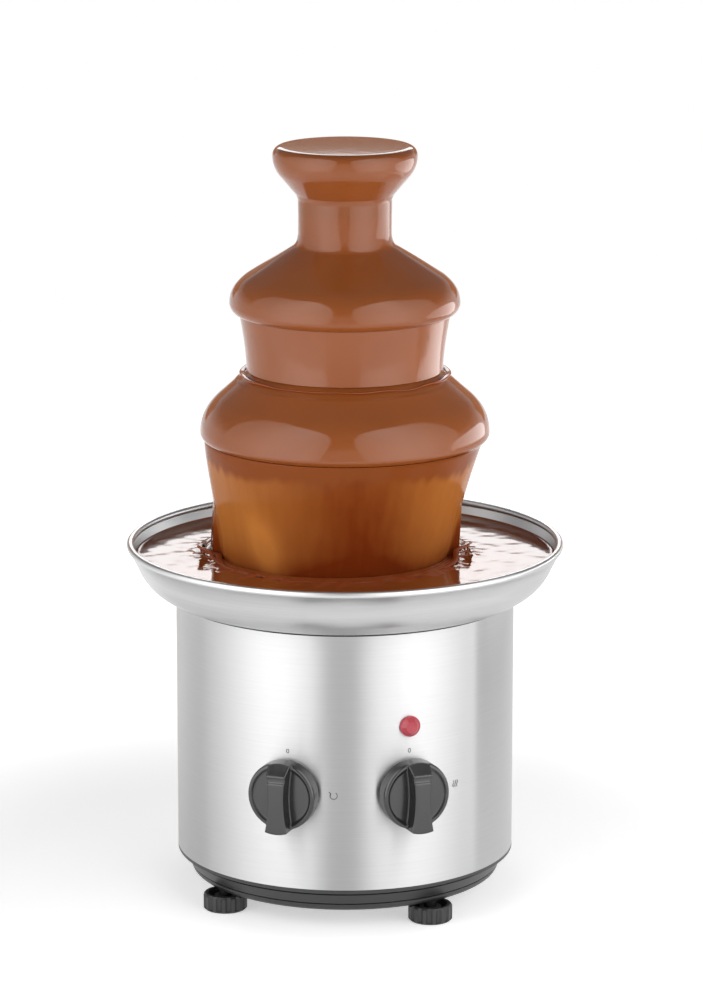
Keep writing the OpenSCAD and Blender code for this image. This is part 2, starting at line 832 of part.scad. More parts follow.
module crown() {
    wall = tier_skin + tier_t;
    color(white_c) rotate_extrude() polygon(concat(
        crown_side(tier_skin),
        [[crown_r - tier_skin, z_cup_rim - tier_t / 2], [crown_r - tier_skin - tier_t / 2, z_cup_rim],
         [crown_r - wall, z_cup_rim - tier_t / 2]],
        flip(arc([crown_r - crown_belly, z_crown], crown_belly - wall, -crown_flare, 0)),
        [[crown_hub_r + tier_t, z_crown_stem + crown_floor], [crown_hub_r, z_crown_stem + crown_floor],
         [crown_hub_r, z_crown_stem]]
    ));
}

// Chocolate over, round and inside the cup, open in the middle for the auger
module crown_chocolate() {
    inside = tier_skin + tier_t + rest_gap;
    swell_hole = auger_d / 2 + soft_gap;
    color(chocolate_c) rotate_extrude() polygon(concat(
        crown_side(0),
        arc([crown_r - crown_lip, z_crown], crown_lip, 0, 90, 6, 1),
        [[swell_hole, z_crown + crown_lip], [swell_hole, z_column_top + soft_gap],
         [column_r[3] + soft_gap, z_column_top + soft_gap],
         [column_r[3] + soft_gap, z_crown_stem + crown_floor + soft_gap],
         [crown_hub_r + tier_t, z_crown_stem + crown_floor + soft_gap]],
        arc([crown_r - crown_belly, z_crown], crown_belly - inside, -crown_flare, 0),
        [[crown_r - inside, z_cup_rim - tier_t / 2],
         [crown_r - tier_skin - tier_t / 2, z_cup_rim + rest_gap],
         [crown_r - film, z_cup_rim - tier_t / 2]],
        flip(crown_side(film))
    ));
}

// Auger: a core with a hexagon socket, carrying one helical flight

z_auger = z_hex - 0.6;
z_flight = z_auger + 2;
core_r = core_d / 2;
auger_r = auger_d / 2;
hex_fit = 0.12;
flight_turn_steps = 24;
flight_root = core_r - 0.6;
flight_h = z_column_top - 1 - flight_t - z_flight;
flight_steps = ceil(flight_turn_steps * flight_h / auger_pitch);
nose_h = 3;

function flight_ring(i) =
    let (
        a = 360 * i / flight_turn_steps,
        z = z_flight + auger_pitch * i / flight_turn_steps,
        d = [cos(a), sin(a)]
    )
    [concat(flight_root * d, z), concat(auger_r * d, z),
     concat(auger_r * d, z + flight_t), concat(flight_root * d, z + flight_t)];

module flight() {
    rings = [for (i = [0 : flight_steps]) each flight_ring(i)];
    last = 4 * flight_steps;
    sides = [for (i = [0 : flight_steps - 1], k = [0 : 3])
        let (a = 4 * i + k, b = 4 * i + (k + 1) % 4)
        each [[a, b, b + 4], [a, b + 4, a + 4]]];
    ends = [[0, 3, 2], [0, 2, 1], [last, last + 1, last + 2], [last, last + 2, last + 3]];
    polyhedron(concat([for (p = rings) p]), [for (f = concat(sides, ends)) f], convexity = 10);
}

module auger() {
    color(white_c) difference() {
        union() {
            translate([0, 0, z_auger]) cylinder(r = core_r, h = z_column_top - z_auger);
            translate([0, 0, z_column_top]) cylinder(r1 = core_r, r2 = core_r - nose_h, h = nose_h);
            flight();
        }
        translate([0, 0, z_auger - 1])
            cylinder(r = hex_d / 2 + hex_fit, h = z_hex + hex_h + rest_gap - z_auger + 1, $fn = 6);
    }
}

// Chocolate welling up over the auger's nose
module chocolate_swell() {
    z0 = z_column_top + nose_h + rest_gap;
    swell_r = auger_r;
    dome = 1;
    color(chocolate_c) rotate_extrude() polygon([
        [0, z0], [swell_r, z0], [swell_r, z_crown + crown_lip - 0.2],
        [swell_r * 0.7, z_crown + crown_lip + dome * 0.6],
        [swell_r * 0.35, z_crown + crown_lip + dome * 0.9],
        [0, z_crown + crown_lip + dome]
    ]);
}

// Pool that fills the bowl, open in the middle so that the column can be lifted out
module chocolate_pool() {
    s = bowl_t + rest_gap;
    hole_r = flange_d / 2 + 1;
    wall = bowl_line(s);
    wall_end = wall[len(wall) - 1];
    level_r = wall_end[0] + (z_pool - wall_end[1]) * tan(bowl_lean);
    color(chocolate_c) rotate_extrude() polygon(concat(
        [[hole_r, z_well + s]], wall, [[level_r - rest_gap, z_pool], [hole_r, z_pool]]
    ));
}

// Rotary switches: body behind the drum, bush and nut through it, knob in front

switch_w = 20;
switch_depth = 18;
switch_front = inner_r - 1.4;
bush_end = housing_r + 3;
nut_across = bush_r + 2.4;
switch_nut_h = 2;
spindle_in = 10;
knob_back = housing_r + 2.6;
knob_front = housing_r + knob_reach;
knob_r = knob_d / 2;
knob_edge = 1.6;
knob_dish = 0.9;
dish_margin = 1.8;
grip_waist = 1.8;
waist_r = (knob_r * knob_r + grip_waist * grip_waist) / (2 * grip_waist);
ramp_start = knob_r * 0.7;
ramp_angle = 50;
groove_w = 2.6;
groove_d = 0.8;
groove_land = 0.7;
spindle_bore_h = 12;

module knob(angle) {
    disc_front = knob_back + knob_disc;
    color(black_c) at_wall(angle, z_switch) difference() {
        union() {
            rotate_extrude() polygon(concat(
                [[0, knob_back], [knob_r - 0.5, knob_back], [knob_r, knob_back + 0.5]],
                arc([knob_r - knob_edge, disc_front - knob_edge], knob_edge, 0, 90),
                [[knob_r - dish_margin, disc_front],
                 [knob_r - dish_margin - knob_dish, disc_front - knob_dish],
                 [0, disc_front - knob_dish]]
            ));
            intersection() {
                translate([0, 0, disc_front - knob_dish - 1])
                    cylinder(r = knob_r, h = knob_front - disc_front + knob_dish + 1);
                difference() {
                    translate([-grip_w / 2, -knob_r, disc_front - knob_dish - 1])
                        cube([grip_w, 2 * knob_r, knob_front - disc_front + knob_dish + 1]);
                    for (side = [-1, 1])
                        translate([side * (grip_w / 2 - grip_waist + waist_r), 0, disc_front - knob_dish])
                        cylinder(r = waist_r, h = knob_reach);
                    translate([-knob_r, ramp_start, knob_front]) rotate([-ramp_angle, 0, 0])
                        cube([2 * knob_r, 2 * knob_r, knob_reach]);
                    translate([-knob_r, ramp_start - groove_land - groove_w, knob_front - groove_d])
                        cube([2 * knob_r, groove_w, knob_reach]);
                }
            }
        }
        translate([0, 0, knob_back - 1]) {
            cylinder(r = nut_across + 1, h = bush_end - knob_back + 1 + soft_gap);
            cylinder(r = spindle_d / 2 + eps, h = spindle_bore_h + 1);
        }
    }
}

module switch_spindle(angle) {
    color(steel_c) at_wall(angle, z_switch) translate([0, 0, switch_front - spindle_in])
        cylinder(r = spindle_d / 2, h = knob_back + spindle_bore_h - 0.2 - switch_front + spindle_in);
}

module switch_body(angle) {
    color(dark_c) at_wall(angle, z_switch) difference() {
        union() {
            translate([-switch_w / 2, -switch_w / 2, switch_front - switch_depth])
                cube([switch_w, switch_w, switch_depth]);
            translate([0, 0, switch_front - 1]) cylinder(r = bush_r, h = bush_end - switch_front + 1);
        }
        translate([0, 0, switch_front - spindle_in - 0.2])
            cylinder(r = spindle_d / 2 + turn_fit, h = bush_end - switch_front + spindle_in + 2);
    }
}

module switch_nut(angle) {
    color(steel_c) at_wall(angle, z_switch) translate([0, 0, housing_r + rest_gap]) difference() {
        cylinder(r = nut_across, h = switch_nut_h, $fn = 6);
        translate([0, 0, -1]) cylinder(r = bush_r + rest_gap, h = switch_nut_h + 2);
    }
}

// Pilot lamp above the right-hand switch

lens_flange = 1.2;
lens_dome = 2;
lamp_gap = 0.5;
lamp_l = housing_r - bracket_r - lamp_gap;
clip_r = lamp_body_r + 3.6;
clip_t = 0.8;

module lamp_lens() {
    color("#b03a48") at_wall(switch_angle, z_lamp) translate([0, 0, housing_r + rest_gap]) {
        cylinder(r = lamp_d / 2, h = lens_flange);
        translate([0, 0, lens_flange - eps])
            cylinder(r1 = lamp_d / 2 - 0.4, r2 = lamp_d * 0.28, h = lens_dome, $fn = 12);
    }
}

module lamp_body() {
    color(white_c) at_wall(switch_angle, z_lamp) translate([0, 0, housing_r - lamp_l])
        cylinder(r = lamp_body_r, h = lamp_l);
}

module lamp_clip() {
    clip_front = sqrt(inner_r * inner_r - clip_r * clip_r) - rest_gap;
    color(steel_c) at_wall(switch_angle, z_lamp) translate([0, 0, clip_front - clip_t])
        ring(clip_r, lamp_body_r + rest_gap, clip_t);
}

// Cord inlet with a square body and flange at the back, and the terminal block beside it

gland_flange_r = 10.5;
gland_flange_h = 2.2;
gland_l = 10;
block = [24, 12, 11];
block_x = 27;
block_gap = 1;
block_reach = min(base_bottom_r - base_edge, dish_top_r - base_t) - block_gap;
block_side = block_x + block[0] / 2;
block_y = sqrt(block_reach * block_reach - block_side * block_side) - block[1];

module cord_gland() {
    color(black_c) at_wall(180, gland_z) difference() {
        union() {
            translate([-gland_r, -gland_r, housing_r - gland_l])
                cube([2 * gland_r, 2 * gland_r, gland_l + gland_flange_h]);
            translate([-gland_flange_r, -gland_flange_r, housing_r + rest_gap])
                cube([2 * gland_flange_r, 2 * gland_flange_r, gland_flange_h]);
        }
        translate([0, 0, housing_r - gland_l - 1])
            cylinder(r = gland_bore, h = gland_l + gland_flange_h + 2);
    }
}

module terminal_block() {
    pole_r = 2;
    color(white_c) translate([block_x - block[0] / 2, block_y, z_floor + rest_gap]) difference() {
        cube(block);
        for (k = [0 : 2])
            translate([block[0] * (k + 0.5) / 3, block[1] / 2, block[2] - 5]) cylinder(r = pole_r, h = 6);
    }
}

base_plate();
housing_shell();
bowl_gasket();
bowl();
bowl_pins();
foot_wheel(0);  // foot_wheel_1
foot_wheel(1);  // foot_wheel_2
foot_wheel(2);  // foot_wheel_3
foot_wheel(3);  // foot_wheel_4
foot_stud(0);  // foot_stud_1
foot_stud(1);  // foot_stud_2
foot_stud(2);  // foot_stud_3
foot_stud(3);  // foot_stud_4
tie_rods();
rod_sleeves();
rod_nuts();
motor_bracket();
heater_plate();
heating_element();
thermostat();
gearbox_case();
gearbox_cover();
gearbox_screws();
motor_can();
motor_end_cap();
motor_magnets();
motor_armature();
motor_pinion();
drive_gear();
drive_shaft();
drive_hex();
shaft_bush();
bush_nut();
shaft_seal();
auger();
column_tube();
lower_tier();
upper_tier();
crown();
chocolate_pool();
lower_coat();
lower_curtain();
upper_coat();
upper_curtain();
crown_chocolate();
chocolate_swell();
knob(-switch_angle);  // motor_knob
knob(switch_angle);  // heat_knob
switch_spindle(-switch_angle);  // motor_spindle
switch_spindle(switch_angle);  // heat_spindle
switch_body(-switch_angle);  // motor_switch
switch_body(switch_angle);  // heat_switch
switch_nut(-switch_angle);  // motor_switch_nut
switch_nut(switch_angle);  // heat_switch_nut
lamp_lens();
lamp_body();
lamp_clip();
cord_gland();
terminal_block();
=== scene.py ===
# %% [markdown]
# # Chocolate fountain with two bells
# A brushed steel drum holds a motor, a gear and a heater. A screw in the middle lifts warm chocolate up
# a column, and it runs over a crown and two bells, falls as thin sheets and lands in the bowl.
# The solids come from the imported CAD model, which stays as it is. This script gives every solid its
# finish, and models the chocolate itself, because a liquid needs ripples, soft edges and thin sheets that
# plain solids lack.

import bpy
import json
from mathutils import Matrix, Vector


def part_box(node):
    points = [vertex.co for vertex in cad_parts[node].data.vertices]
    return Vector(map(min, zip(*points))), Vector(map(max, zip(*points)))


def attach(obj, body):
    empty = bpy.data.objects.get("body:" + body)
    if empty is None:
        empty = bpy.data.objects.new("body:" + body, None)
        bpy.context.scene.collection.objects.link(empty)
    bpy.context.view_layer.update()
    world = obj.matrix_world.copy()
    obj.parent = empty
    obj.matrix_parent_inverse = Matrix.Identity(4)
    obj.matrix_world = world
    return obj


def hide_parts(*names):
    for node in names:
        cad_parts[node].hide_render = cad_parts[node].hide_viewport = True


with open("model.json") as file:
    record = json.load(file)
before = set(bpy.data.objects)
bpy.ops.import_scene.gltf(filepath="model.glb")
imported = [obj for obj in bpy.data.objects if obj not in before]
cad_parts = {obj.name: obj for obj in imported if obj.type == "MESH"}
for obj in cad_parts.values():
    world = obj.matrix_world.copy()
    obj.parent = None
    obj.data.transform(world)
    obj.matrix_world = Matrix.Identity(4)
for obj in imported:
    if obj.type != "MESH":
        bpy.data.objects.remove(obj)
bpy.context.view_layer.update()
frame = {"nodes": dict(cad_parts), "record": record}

# %% [markdown]
# Some helpers are used all through. Colours are written as sRGB hex, as a paint chart gives them, and the
# shader needs them linear, so one function turns them. Another adds one shader node with its settings and
# its links, so that each finish below reads as a short list. The others start a finish with an empty
# Principled shader, make a noise of a stated size, mix two colours, and let one pattern drive both colour
# and gloss, because on a real surface the two change together.

# %% Colours, nodes and finishes
import json
import math

import bmesh
import bpy
import numpy as np

MM = 0.001


def linear(hex_colour):
    """Linear colour of an sRGB hex value: each channel goes back through the sRGB curve."""
    srgb = np.array([int(hex_colour[i:i + 2], 16) for i in (1, 3, 5)]) / 255
    rgb = np.where(srgb <= 0.04045, srgb / 12.92, ((srgb + 0.055) / 1.055) ** 2.4)
    return (*rgb.tolist(), 1.0)


def add(tree, kind, settings=None, inputs=None):
    """Adds a node, sets its switches, and gives each input a value or a link from another node's socket."""
    node = tree.nodes.new(kind)
    for name, value in (settings or {}).items():
        setattr(node, name, value)
    for key, value in (inputs or {}).items():
        if isinstance(value, bpy.types.NodeSocket):
            tree.links.new(value, node.inputs[key])
        else:
            node.inputs[key].default_value = value
    return node


def new_finish(name, inputs):
    """A material with one Principled shader, whose plain numbers are set straight on its sockets."""
    material = bpy.data.materials.new(name)
    material.use_nodes = True
    tree = material.node_tree
    tree.nodes.clear()
    shader = add(tree, "ShaderNodeBsdfPrincipled", None, inputs)
    add(tree, "ShaderNodeOutputMaterial", None, {"Surface": shader.outputs["BSDF"]})
    return material, tree, shader


def noise(tree, size, detail, squeeze=None):
    """Noise with lumps of a size in millimetres, drawn out along each axis that has a small squeeze."""
    place = add(tree, "ShaderNodeTexCoord").outputs["Object"]
    if squeeze:
        place = add(tree, "ShaderNodeMapping", None, {"Vector": place, "Scale": squeeze}).outputs["Vector"]
    lumps = add(tree, "ShaderNodeTexNoise", None,
                {"Vector": place, "Scale": 1 / (size * MM), "Detail": detail})
    return lumps.outputs["Fac"]


def blend(tree, share, first, second):
    """Colour between two others: all of the first at a share of 0, all of the second at 1."""
    # Sockets 6 and 7 of this node are its two colours, and its output 2 is the mixed one.
    return add(tree, "ShaderNodeMix", {"data_type": "RGBA"}, {0: share, 6: first, 7: second}).outputs[2]


def vary(tree, shader, pattern, dark, light, smooth, rough):
    """A pattern from 0 to 1 takes the colour from dark to light and the roughness from smooth to rough."""
    gloss = add(tree, "ShaderNodeMapRange", None, {"Value": pattern, "To Min": smooth, "To Max": rough})
    tree.links.new(blend(tree, pattern, linear(dark), linear(light)), shader.inputs["Base Color"])
    tree.links.new(gloss.outputs["Result"], shader.inputs["Roughness"])


def grained(name, inputs, dark, light, size, smooth, rough, detail=3.0, squeeze=None):
    """A finish whose colour and gloss both drift with one noise of the given size in millimetres."""
    finish, tree, shader = new_finish(name, inputs)
    vary(tree, shader, noise(tree, size, detail, squeeze), dark, light, smooth, rough)
    return finish


print("helpers ready")

# %% [markdown]
# The camera stands 2 m in front of the fountain and 0.66 m up, with a long lens, as for a catalogue
# picture: the upright lines stay almost upright and the bowl shows as a flat ellipse. It looks down by 13
# degrees and stands about a degree to the left. A small shift puts the axis slightly left of the middle of
# the picture.

# %% Camera
# Distance and height are in metres, and CAMERA_DOWN is in degrees.
CAMERA_TURN = math.radians(-1.25)
CAMERA_DISTANCE = 2.0
CAMERA_HEIGHT = 0.657
CAMERA_DOWN = 13.09
camera = bpy.data.cameras.new("catalogue_camera")
camera.lens = 153.8
camera.sensor_width = 36
camera.shift_x = 0.0065
camera_object = bpy.data.objects.new("catalogue_camera", camera)
camera_object.location = (
    CAMERA_DISTANCE * math.sin(CAMERA_TURN),
    -CAMERA_DISTANCE * math.cos(CAMERA_TURN),
    CAMERA_HEIGHT,
)
camera_object.rotation_euler = (math.radians(90 - CAMERA_DOWN), 0, CAMERA_TURN)
bpy.context.scene.collection.objects.link(camera_object)
bpy.context.scene.camera = camera_object
bpy.context.scene.view_settings.view_transform = "Standard"
print("camera at", [round(v, 3) for v in camera_object.location])

# %% [markdown]
# Every new piece is a grid of points: one direction runs round the fountain, the other along its profile.
# The grid is worked out with numpy as one array and put into the mesh in one go. Points that fall
# together, such as a ring of no radius at a pole, are welded, and the faces are turned to point outwards.

# %% From a grid of points to a mesh
COLLECTION = bpy.context.scene.collection
# Points nearer than WELD become one, and edges that bend more than SHARP stay sharp.
WELD = 0.002 * MM
SHARP = math.radians(55)


def grid_quads(rows, columns, wrap_rows, wrap_columns):
    """Faces of a grid: point (i, j) joins (i+1, j), (i+1, j+1) and (i, j+1), past the end if it wraps."""
    i = np.arange(rows if wrap_rows else rows - 1)
    j = np.arange(columns if wrap_columns else columns - 1)
    i, j = np.meshgrid(i, j, indexing="ij")
    after_i = (i + 1) % rows
    after_j = (j + 1) % columns
    corners = (i * columns + j, after_i * columns + j, after_i * columns + after_j, i * columns + after_j)
    return np.stack(corners, -1).reshape(-1, 4)


def mesh_from_grid(name, points, wrap_rows=False, wrap_columns=False, attributes=None, weld=True):
    """Mesh object of a grid of points in millimetres, with named numbers kept on its points if given."""
    rows, columns = points.shape[:2]
    quads = grid_quads(rows, columns, wrap_rows, wrap_columns).astype(np.int32)
    mesh = bpy.data.meshes.new(name)
    mesh.vertices.add(rows * columns)
    mesh.vertices.foreach_set("co", (points.reshape(-1, 3) * MM).astype(np.float32).ravel())
    mesh.loops.add(quads.size)
    mesh.loops.foreach_set("vertex_index", quads.ravel())
    mesh.polygons.add(len(quads))
    mesh.polygons.foreach_set("loop_start", np.arange(0, quads.size, 4, dtype=np.int32))
    mesh.update(calc_edges=True)
    for key, values in (attributes or {}).items():
        layer = mesh.attributes.new(key, "FLOAT", "POINT")
        layer.data.foreach_set("value", values.astype(np.float32).ravel())
    if weld:
        shell = bmesh.new()
        shell.from_mesh(mesh)
        bmesh.ops.remove_doubles(shell, verts=shell.verts, dist=WELD)
        bmesh.ops.recalc_face_normals(shell, faces=shell.faces)
        shell.to_mesh(mesh)
        shell.free()
    mesh.shade_smooth()
    mesh.set_sharp_from_angle(angle=SHARP)
    piece = bpy.data.objects.new(name, mesh)
    COLLECTION.objects.link(piece)
    return piece


print("grid helpers ready")

# %% [markdown]
# The studio is white: a round floor with a white world behind it. The eye, and anything that mirrors, sees
# the floor partly as plain white paper and partly as it is lit, so that it is white and still keeps a soft
# shadow. The world is white low down and dim above, as in a studio whose walls and ceiling are unlit:
# chocolate is a dark mirror, and without that it would look milky on every slope that faces up.

# %% Floor and world
FLOOR_R = 1500.0
PAPER_GLOW = 0.50
# Distances from the axis, in metres, between which the shadow on the paper fades out.
SHADE_FROM = 0.17
SHADE_TO = 0.42
ring = np.linspace(0, 2 * np.pi, 96, endpoint=False)[None, :]
reach = np.array([0.0, FLOOR_R])[:, None]
floor_grid = np.stack([reach * np.sin(ring), -reach * np.cos(ring), 0 * reach * ring], -1)
floor = mesh_from_grid("studio_floor", floor_grid, wrap_columns=True)
paper, paper_tree, paper_shader = new_finish(
    "white_studio_paper",
    {"Base Color": linear("#E9E9E9"), "Roughness": 0.7, "Emission Color": linear("#FFFFFF")},
)
seen = add(paper_tree, "ShaderNodeLightPath")
direct = add(paper_tree, "ShaderNodeMath", {"operation": "MAXIMUM"},
             {0: seen.outputs["Is Camera Ray"], 1: seen.outputs["Is Glossy Ray"]})
either = add(paper_tree, "ShaderNodeMath", {"operation": "MAXIMUM"},
             {0: direct.outputs[0], 1: seen.outputs["Is Transmission Ray"]})
# The paper is lit more and more evenly away from the fountain, until it is plain white.
spot = add(paper_tree, "ShaderNodeTexCoord")
away = add(paper_tree, "ShaderNodeVectorMath", {"operation": "LENGTH"}, {0: spot.outputs["Object"]})
paper_white = add(paper_tree, "ShaderNodeMapRange", {"interpolation_type": "SMOOTHSTEP"},
                  {"Value": away.outputs["Value"], "From Min": SHADE_FROM, "From Max": SHADE_TO,
                   "To Min": PAPER_GLOW, "To Max": 1.0})
lift = add(paper_tree, "ShaderNodeMath", {"operation": "MULTIPLY"},
           {0: either.outputs[0], 1: paper_white.outputs["Result"]})
paper_tree.links.new(lift.outputs[0], paper_shader.inputs["Emission Strength"])
floor.data.materials.append(paper)

WORLD_FILL = 0.42
WORLD_DIM = 0.24
world = bpy.data.worlds.new("white_studio")
bpy.context.scene.world = world
world.use_nodes = True
sky_tree = world.node_tree
sky_tree.nodes.clear()
seen = add(sky_tree, "ShaderNodeLightPath")
mirrored = add(sky_tree, "ShaderNodeMath", {"operation": "MAXIMUM"},
               {0: seen.outputs["Is Glossy Ray"], 1: seen.outputs["Is Transmission Ray"]})
fill = add(sky_tree, "ShaderNodeMapRange", None,
           {"Value": mirrored.outputs[0], "To Min": WORLD_FILL, "To Max": 1.0})
toward = add(sky_tree, "ShaderNodeTexCoord")
upward = add(sky_tree, "ShaderNodeSeparateXYZ", None, {"Vector": toward.outputs["Generated"]})
# The bright lower wall ends and the dim room starts between 6 and 20 degrees up.
grade = add(sky_tree, "ShaderNodeMapRange", None,
            {"Value": upward.outputs["Z"], "From Min": 0.10, "From Max": 0.35,
             "To Min": 1.0, "To Max": WORLD_DIM})
graded = add(sky_tree, "ShaderNodeMath", {"operation": "MULTIPLY"},
             {0: fill.outputs["Result"], 1: grade.outputs["Result"]})
strength = add(sky_tree, "ShaderNodeMath", {"operation": "MAXIMUM"},
               {0: graded.outputs[0], 1: seen.outputs["Is Camera Ray"]})
sky = add(sky_tree, "ShaderNodeBackground", None,
          {"Color": (1, 1, 1, 1), "Strength": strength.outputs[0]})
add(sky_tree, "ShaderNodeOutputWorld", None, {"Surface": sky.outputs["Background"]})
print("floor", FLOOR_R * 2, "mm wide, world fill", WORLD_FILL)

# %% [markdown]
# Two large oval softboxes stand at the left and right, each brightest towards the front. A drum of brushed
# steel shows them as two bright upright bands with a greyer one between, and the bells show their curved
# edges. A small window at the far right edges them with light. A wide light behind is mirrored in the
# pool, and a brown card under it in the crown's top, which would look grey without it. A pale card at the
# right hides the window from the drum. All stand out of the picture, and the camera doesn't see them. The
# gloss sees them at full strength. They light the object at less than that, so that a colour looks as
# bright as it is written, and mostly from low down, so that the slopes of the bells stay darker than the
# upright sheets.

# %% Softboxes
# The light is full up to LIGHT_FROM and fades over LIGHT_FADE, in millimetres. GLOW_WIDTH is in degrees.
LIGHT_SHARE = 0.80
LIGHT_FROM = 200
LIGHT_FADE = 550
GLOW_WIDTH = 38
OFF_FLOOR = 4


def glowing(name, colour):
    """A finish that shines: a gloss sees the strength in glow, and all else is lit by that in light."""
    finish = bpy.data.materials.new(name)
    finish.use_nodes = True
    tree = finish.node_tree
    tree.nodes.clear()
    seen = add(tree, "ShaderNodeLightPath")
    glow = add(tree, "ShaderNodeAttribute", {"attribute_name": "glow"})
    light = add(tree, "ShaderNodeAttribute", {"attribute_name": "light"})
    power = add(tree, "ShaderNodeMapRange", None,
                {"Value": seen.outputs["Is Glossy Ray"],
                 "To Min": light.outputs["Fac"], "To Max": glow.outputs["Fac"]})
    shine = add(tree, "ShaderNodeEmission", None,
                {"Color": linear(colour), "Strength": power.outputs["Result"]})
    add(tree, "ShaderNodeOutputMaterial", None, {"Surface": shine.outputs["Emission"]})
    return finish


cloth = glowing("white_softbox_cloth", "#FFFFFF")
card = glowing("warm_brown_card", "#FFBC9A")


def hang(name, turn, z, distance, glow, finish):
    """Panel from degrees to the right of the camera and heights; its light fades up as a bell curve."""
    turn = np.radians(turn) + CAMERA_TURN
    grid = np.stack([distance * np.sin(turn), -distance * np.cos(turn), z], -1)
    light = LIGHT_SHARE * glow * np.exp(-(np.clip(z - LIGHT_FROM, 0, None) / LIGHT_FADE) ** 2)
    panel = mesh_from_grid(name, grid, attributes={"glow": glow, "light": light}, weld=False)
    panel.data.materials.append(finish)
    panel.visible_camera = False
    panel.visible_shadow = False
    return panel


def oval(name, turn, half_turn, height, half_height, distance, low, high, brightest):
    """Oval softbox of growing rings; a bell curve round the brightest turn lifts its glow to high."""
    size = np.linspace(0, 1, 15)[:, None]
    way = np.linspace(0, 2 * np.pi, 65)[None, :]
    across = turn + half_turn * size * np.cos(way)
    z = np.clip(height + half_height * size * np.sin(way), OFF_FLOOR, None)
    glow = low + (high - low) * np.exp(-((across - brightest) / GLOW_WIDTH) ** 2)
    hang(name, across, z, distance, glow, cloth)


def band(name, turn_from, turn_to, low, high, distance, glow, finish):
    """Upright band of one glow, from one turn to another and from a low to a high level."""
    turn = np.linspace(turn_from, turn_to, 25)[:, None]
    z = np.array([low, high])[None, :]
    return hang(name, turn + 0 * z, z + 0 * turn, distance, glow + 0 * turn * z, finish)


oval("softbox_left", -60, 48, 550, 850, 650, 0.9, 3.1, -46)
oval("softbox_right", 54, 46, 550, 850, 650, 0.9, 3.1, 46)
oval("window_right", 114, 28, 170, 170, 640, 2.4, 3.8, 120)
band("light_behind", 166, 194, 1900, 6000, 8000, 3.6, cloth)
band("card_behind", 150, 210, 5, 1900, 8000, 0.56, card)
band("card_right", 84, 150, OFF_FLOOR, 190, 250, 1.04, cloth).visible_diffuse = False
print("softboxes in place")

# %% [markdown]
# The chocolate keeps the lines of the bells below it, with a film of 1.2 mm over them. A bell's outside,
# from its drip edge up, is a small lip arc, a large shoulder arc, a straight cone, and a fillet into its
# neck. Each node's body is looked up in the record, so that a piece of chocolate moves with the bell it
# lies on.

# %% Profiles of the bells
def heights(node):
    """Lowest and highest level of a CAD node, in millimetres."""
    low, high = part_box(node)
    return low[2] / MM, high[2] / MM


lower_edge, lower_top = heights("lower_coat")
upper_edge, upper_top = heights("upper_coat")
LOWER = dict(r=69.4, z=lower_edge + 3.6, shoulder=24.0, lip=3.6, slope=40.0, top=lower_top)
UPPER = dict(r=54.9, z=upper_edge + 5.0, shoulder=16.6, lip=5.0, slope=32.0, top=upper_top)
NECK_R = 22.2
NECK_FILLET = 7.0
FILM = 1.2
BODY = {node: body for body, nodes in frame["record"]["behaviour"]["bodies"].items() for node in nodes}


def arc(centre, radius, start, end, count):
    """Points of a circle from one angle to the other, in degrees, as radius from the axis and height."""
    a = np.radians(np.linspace(start, end, count))
    return np.stack([centre[0] + radius * np.cos(a), centre[1] + radius * np.sin(a)], -1)


def resample(line, count):
    """The same polyline with evenly spaced points: distance along it is the new parameter."""
    steps = np.hypot(*np.diff(line, axis=0).T)
    along = np.concatenate([[0], np.cumsum(steps)])
    even = np.linspace(0, along[-1], count)
    return np.stack([np.interp(even, along, line[:, 0]), np.interp(even, along, line[:, 1])], -1)


def bell_line(bell, inset, count):
    """Outside of a bell from the drip edge to the neck's top, moved inwards by the inset."""
    r, z, shoulder, lip = bell["r"], bell["z"], bell["shoulder"], bell["lip"]
    slope = math.radians(bell["slope"])
    level = (r - shoulder) * math.sin(slope) + z * math.cos(slope) + shoulder
    neck_z = (level + NECK_FILLET - (NECK_R + NECK_FILLET) * math.sin(slope)) / math.cos(slope)
    line = np.concatenate([
        arc((r - lip, z), lip - inset, -90, 0, 24),
        arc((r - shoulder, z), shoulder - inset, 0, 90 - bell["slope"], 48)[1:],
        arc((NECK_R + NECK_FILLET, neck_z), NECK_FILLET + inset, 270 - bell["slope"], 180, 24),
        [[NECK_R - inset, bell["top"]]],
    ])
    return resample(line, count)


def stand_in(piece, node, finish):
    """The piece takes the place of a CAD node: it rides on that node's body and gets its finish."""
    piece.data.materials.append(finish)
    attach(piece, BODY[node])
    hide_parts(node)
    print(piece.name, "stands for", node, "with", len(piece.data.polygons), "faces")
    return piece


lower_run = np.hypot(*np.diff(bell_line(LOWER, 0, 200), axis=0).T).sum()
print("lower bell line is", round(float(lower_run), 1), "mm long")

# %% [markdown]
# Melted milk chocolate is opaque, smooth and wet: brown light comes from a little below its surface, and a
# clear gloss lies over it. Cocoa butter has an index of refraction of about 1.46. The brown drifts a
# little where the film is thicker, over a few centimetres, and a very faint unevenness of 9 mm keeps the
# gloss from looking like glass. Where the chocolate folds over itself as it lands, countless small
# wrinkles take some of that gloss away.

# %% Finish: melted milk chocolate
CHOCOLATE_IOR = 1.46
COATED = "#8A4820"


def chocolate_finish(name, roughness, gloss, dark, light):
    """Chocolate whose brown drifts over 45 mm between a dark and a light value, with the given gloss."""
    finish, tree, shader = new_finish(name, {
        "Roughness": roughness,
        "IOR": CHOCOLATE_IOR,
        "Specular IOR Level": gloss,
        "Subsurface Weight": 0.12,
        "Subsurface Radius": (1.0, 0.45, 0.22),
        "Subsurface Scale": 0.003,
    })
    brown = blend(tree, noise(tree, 45, 2.0), linear(dark), linear(light))
    relief = add(tree, "ShaderNodeBump", None,
                 {"Height": noise(tree, 9, 1.0), "Strength": 0.12, "Distance": 0.25 * MM})
    tree.links.new(brown, shader.inputs["Base Color"])
    tree.links.new(relief.outputs["Normal"], shader.inputs["Normal"])
    return finish


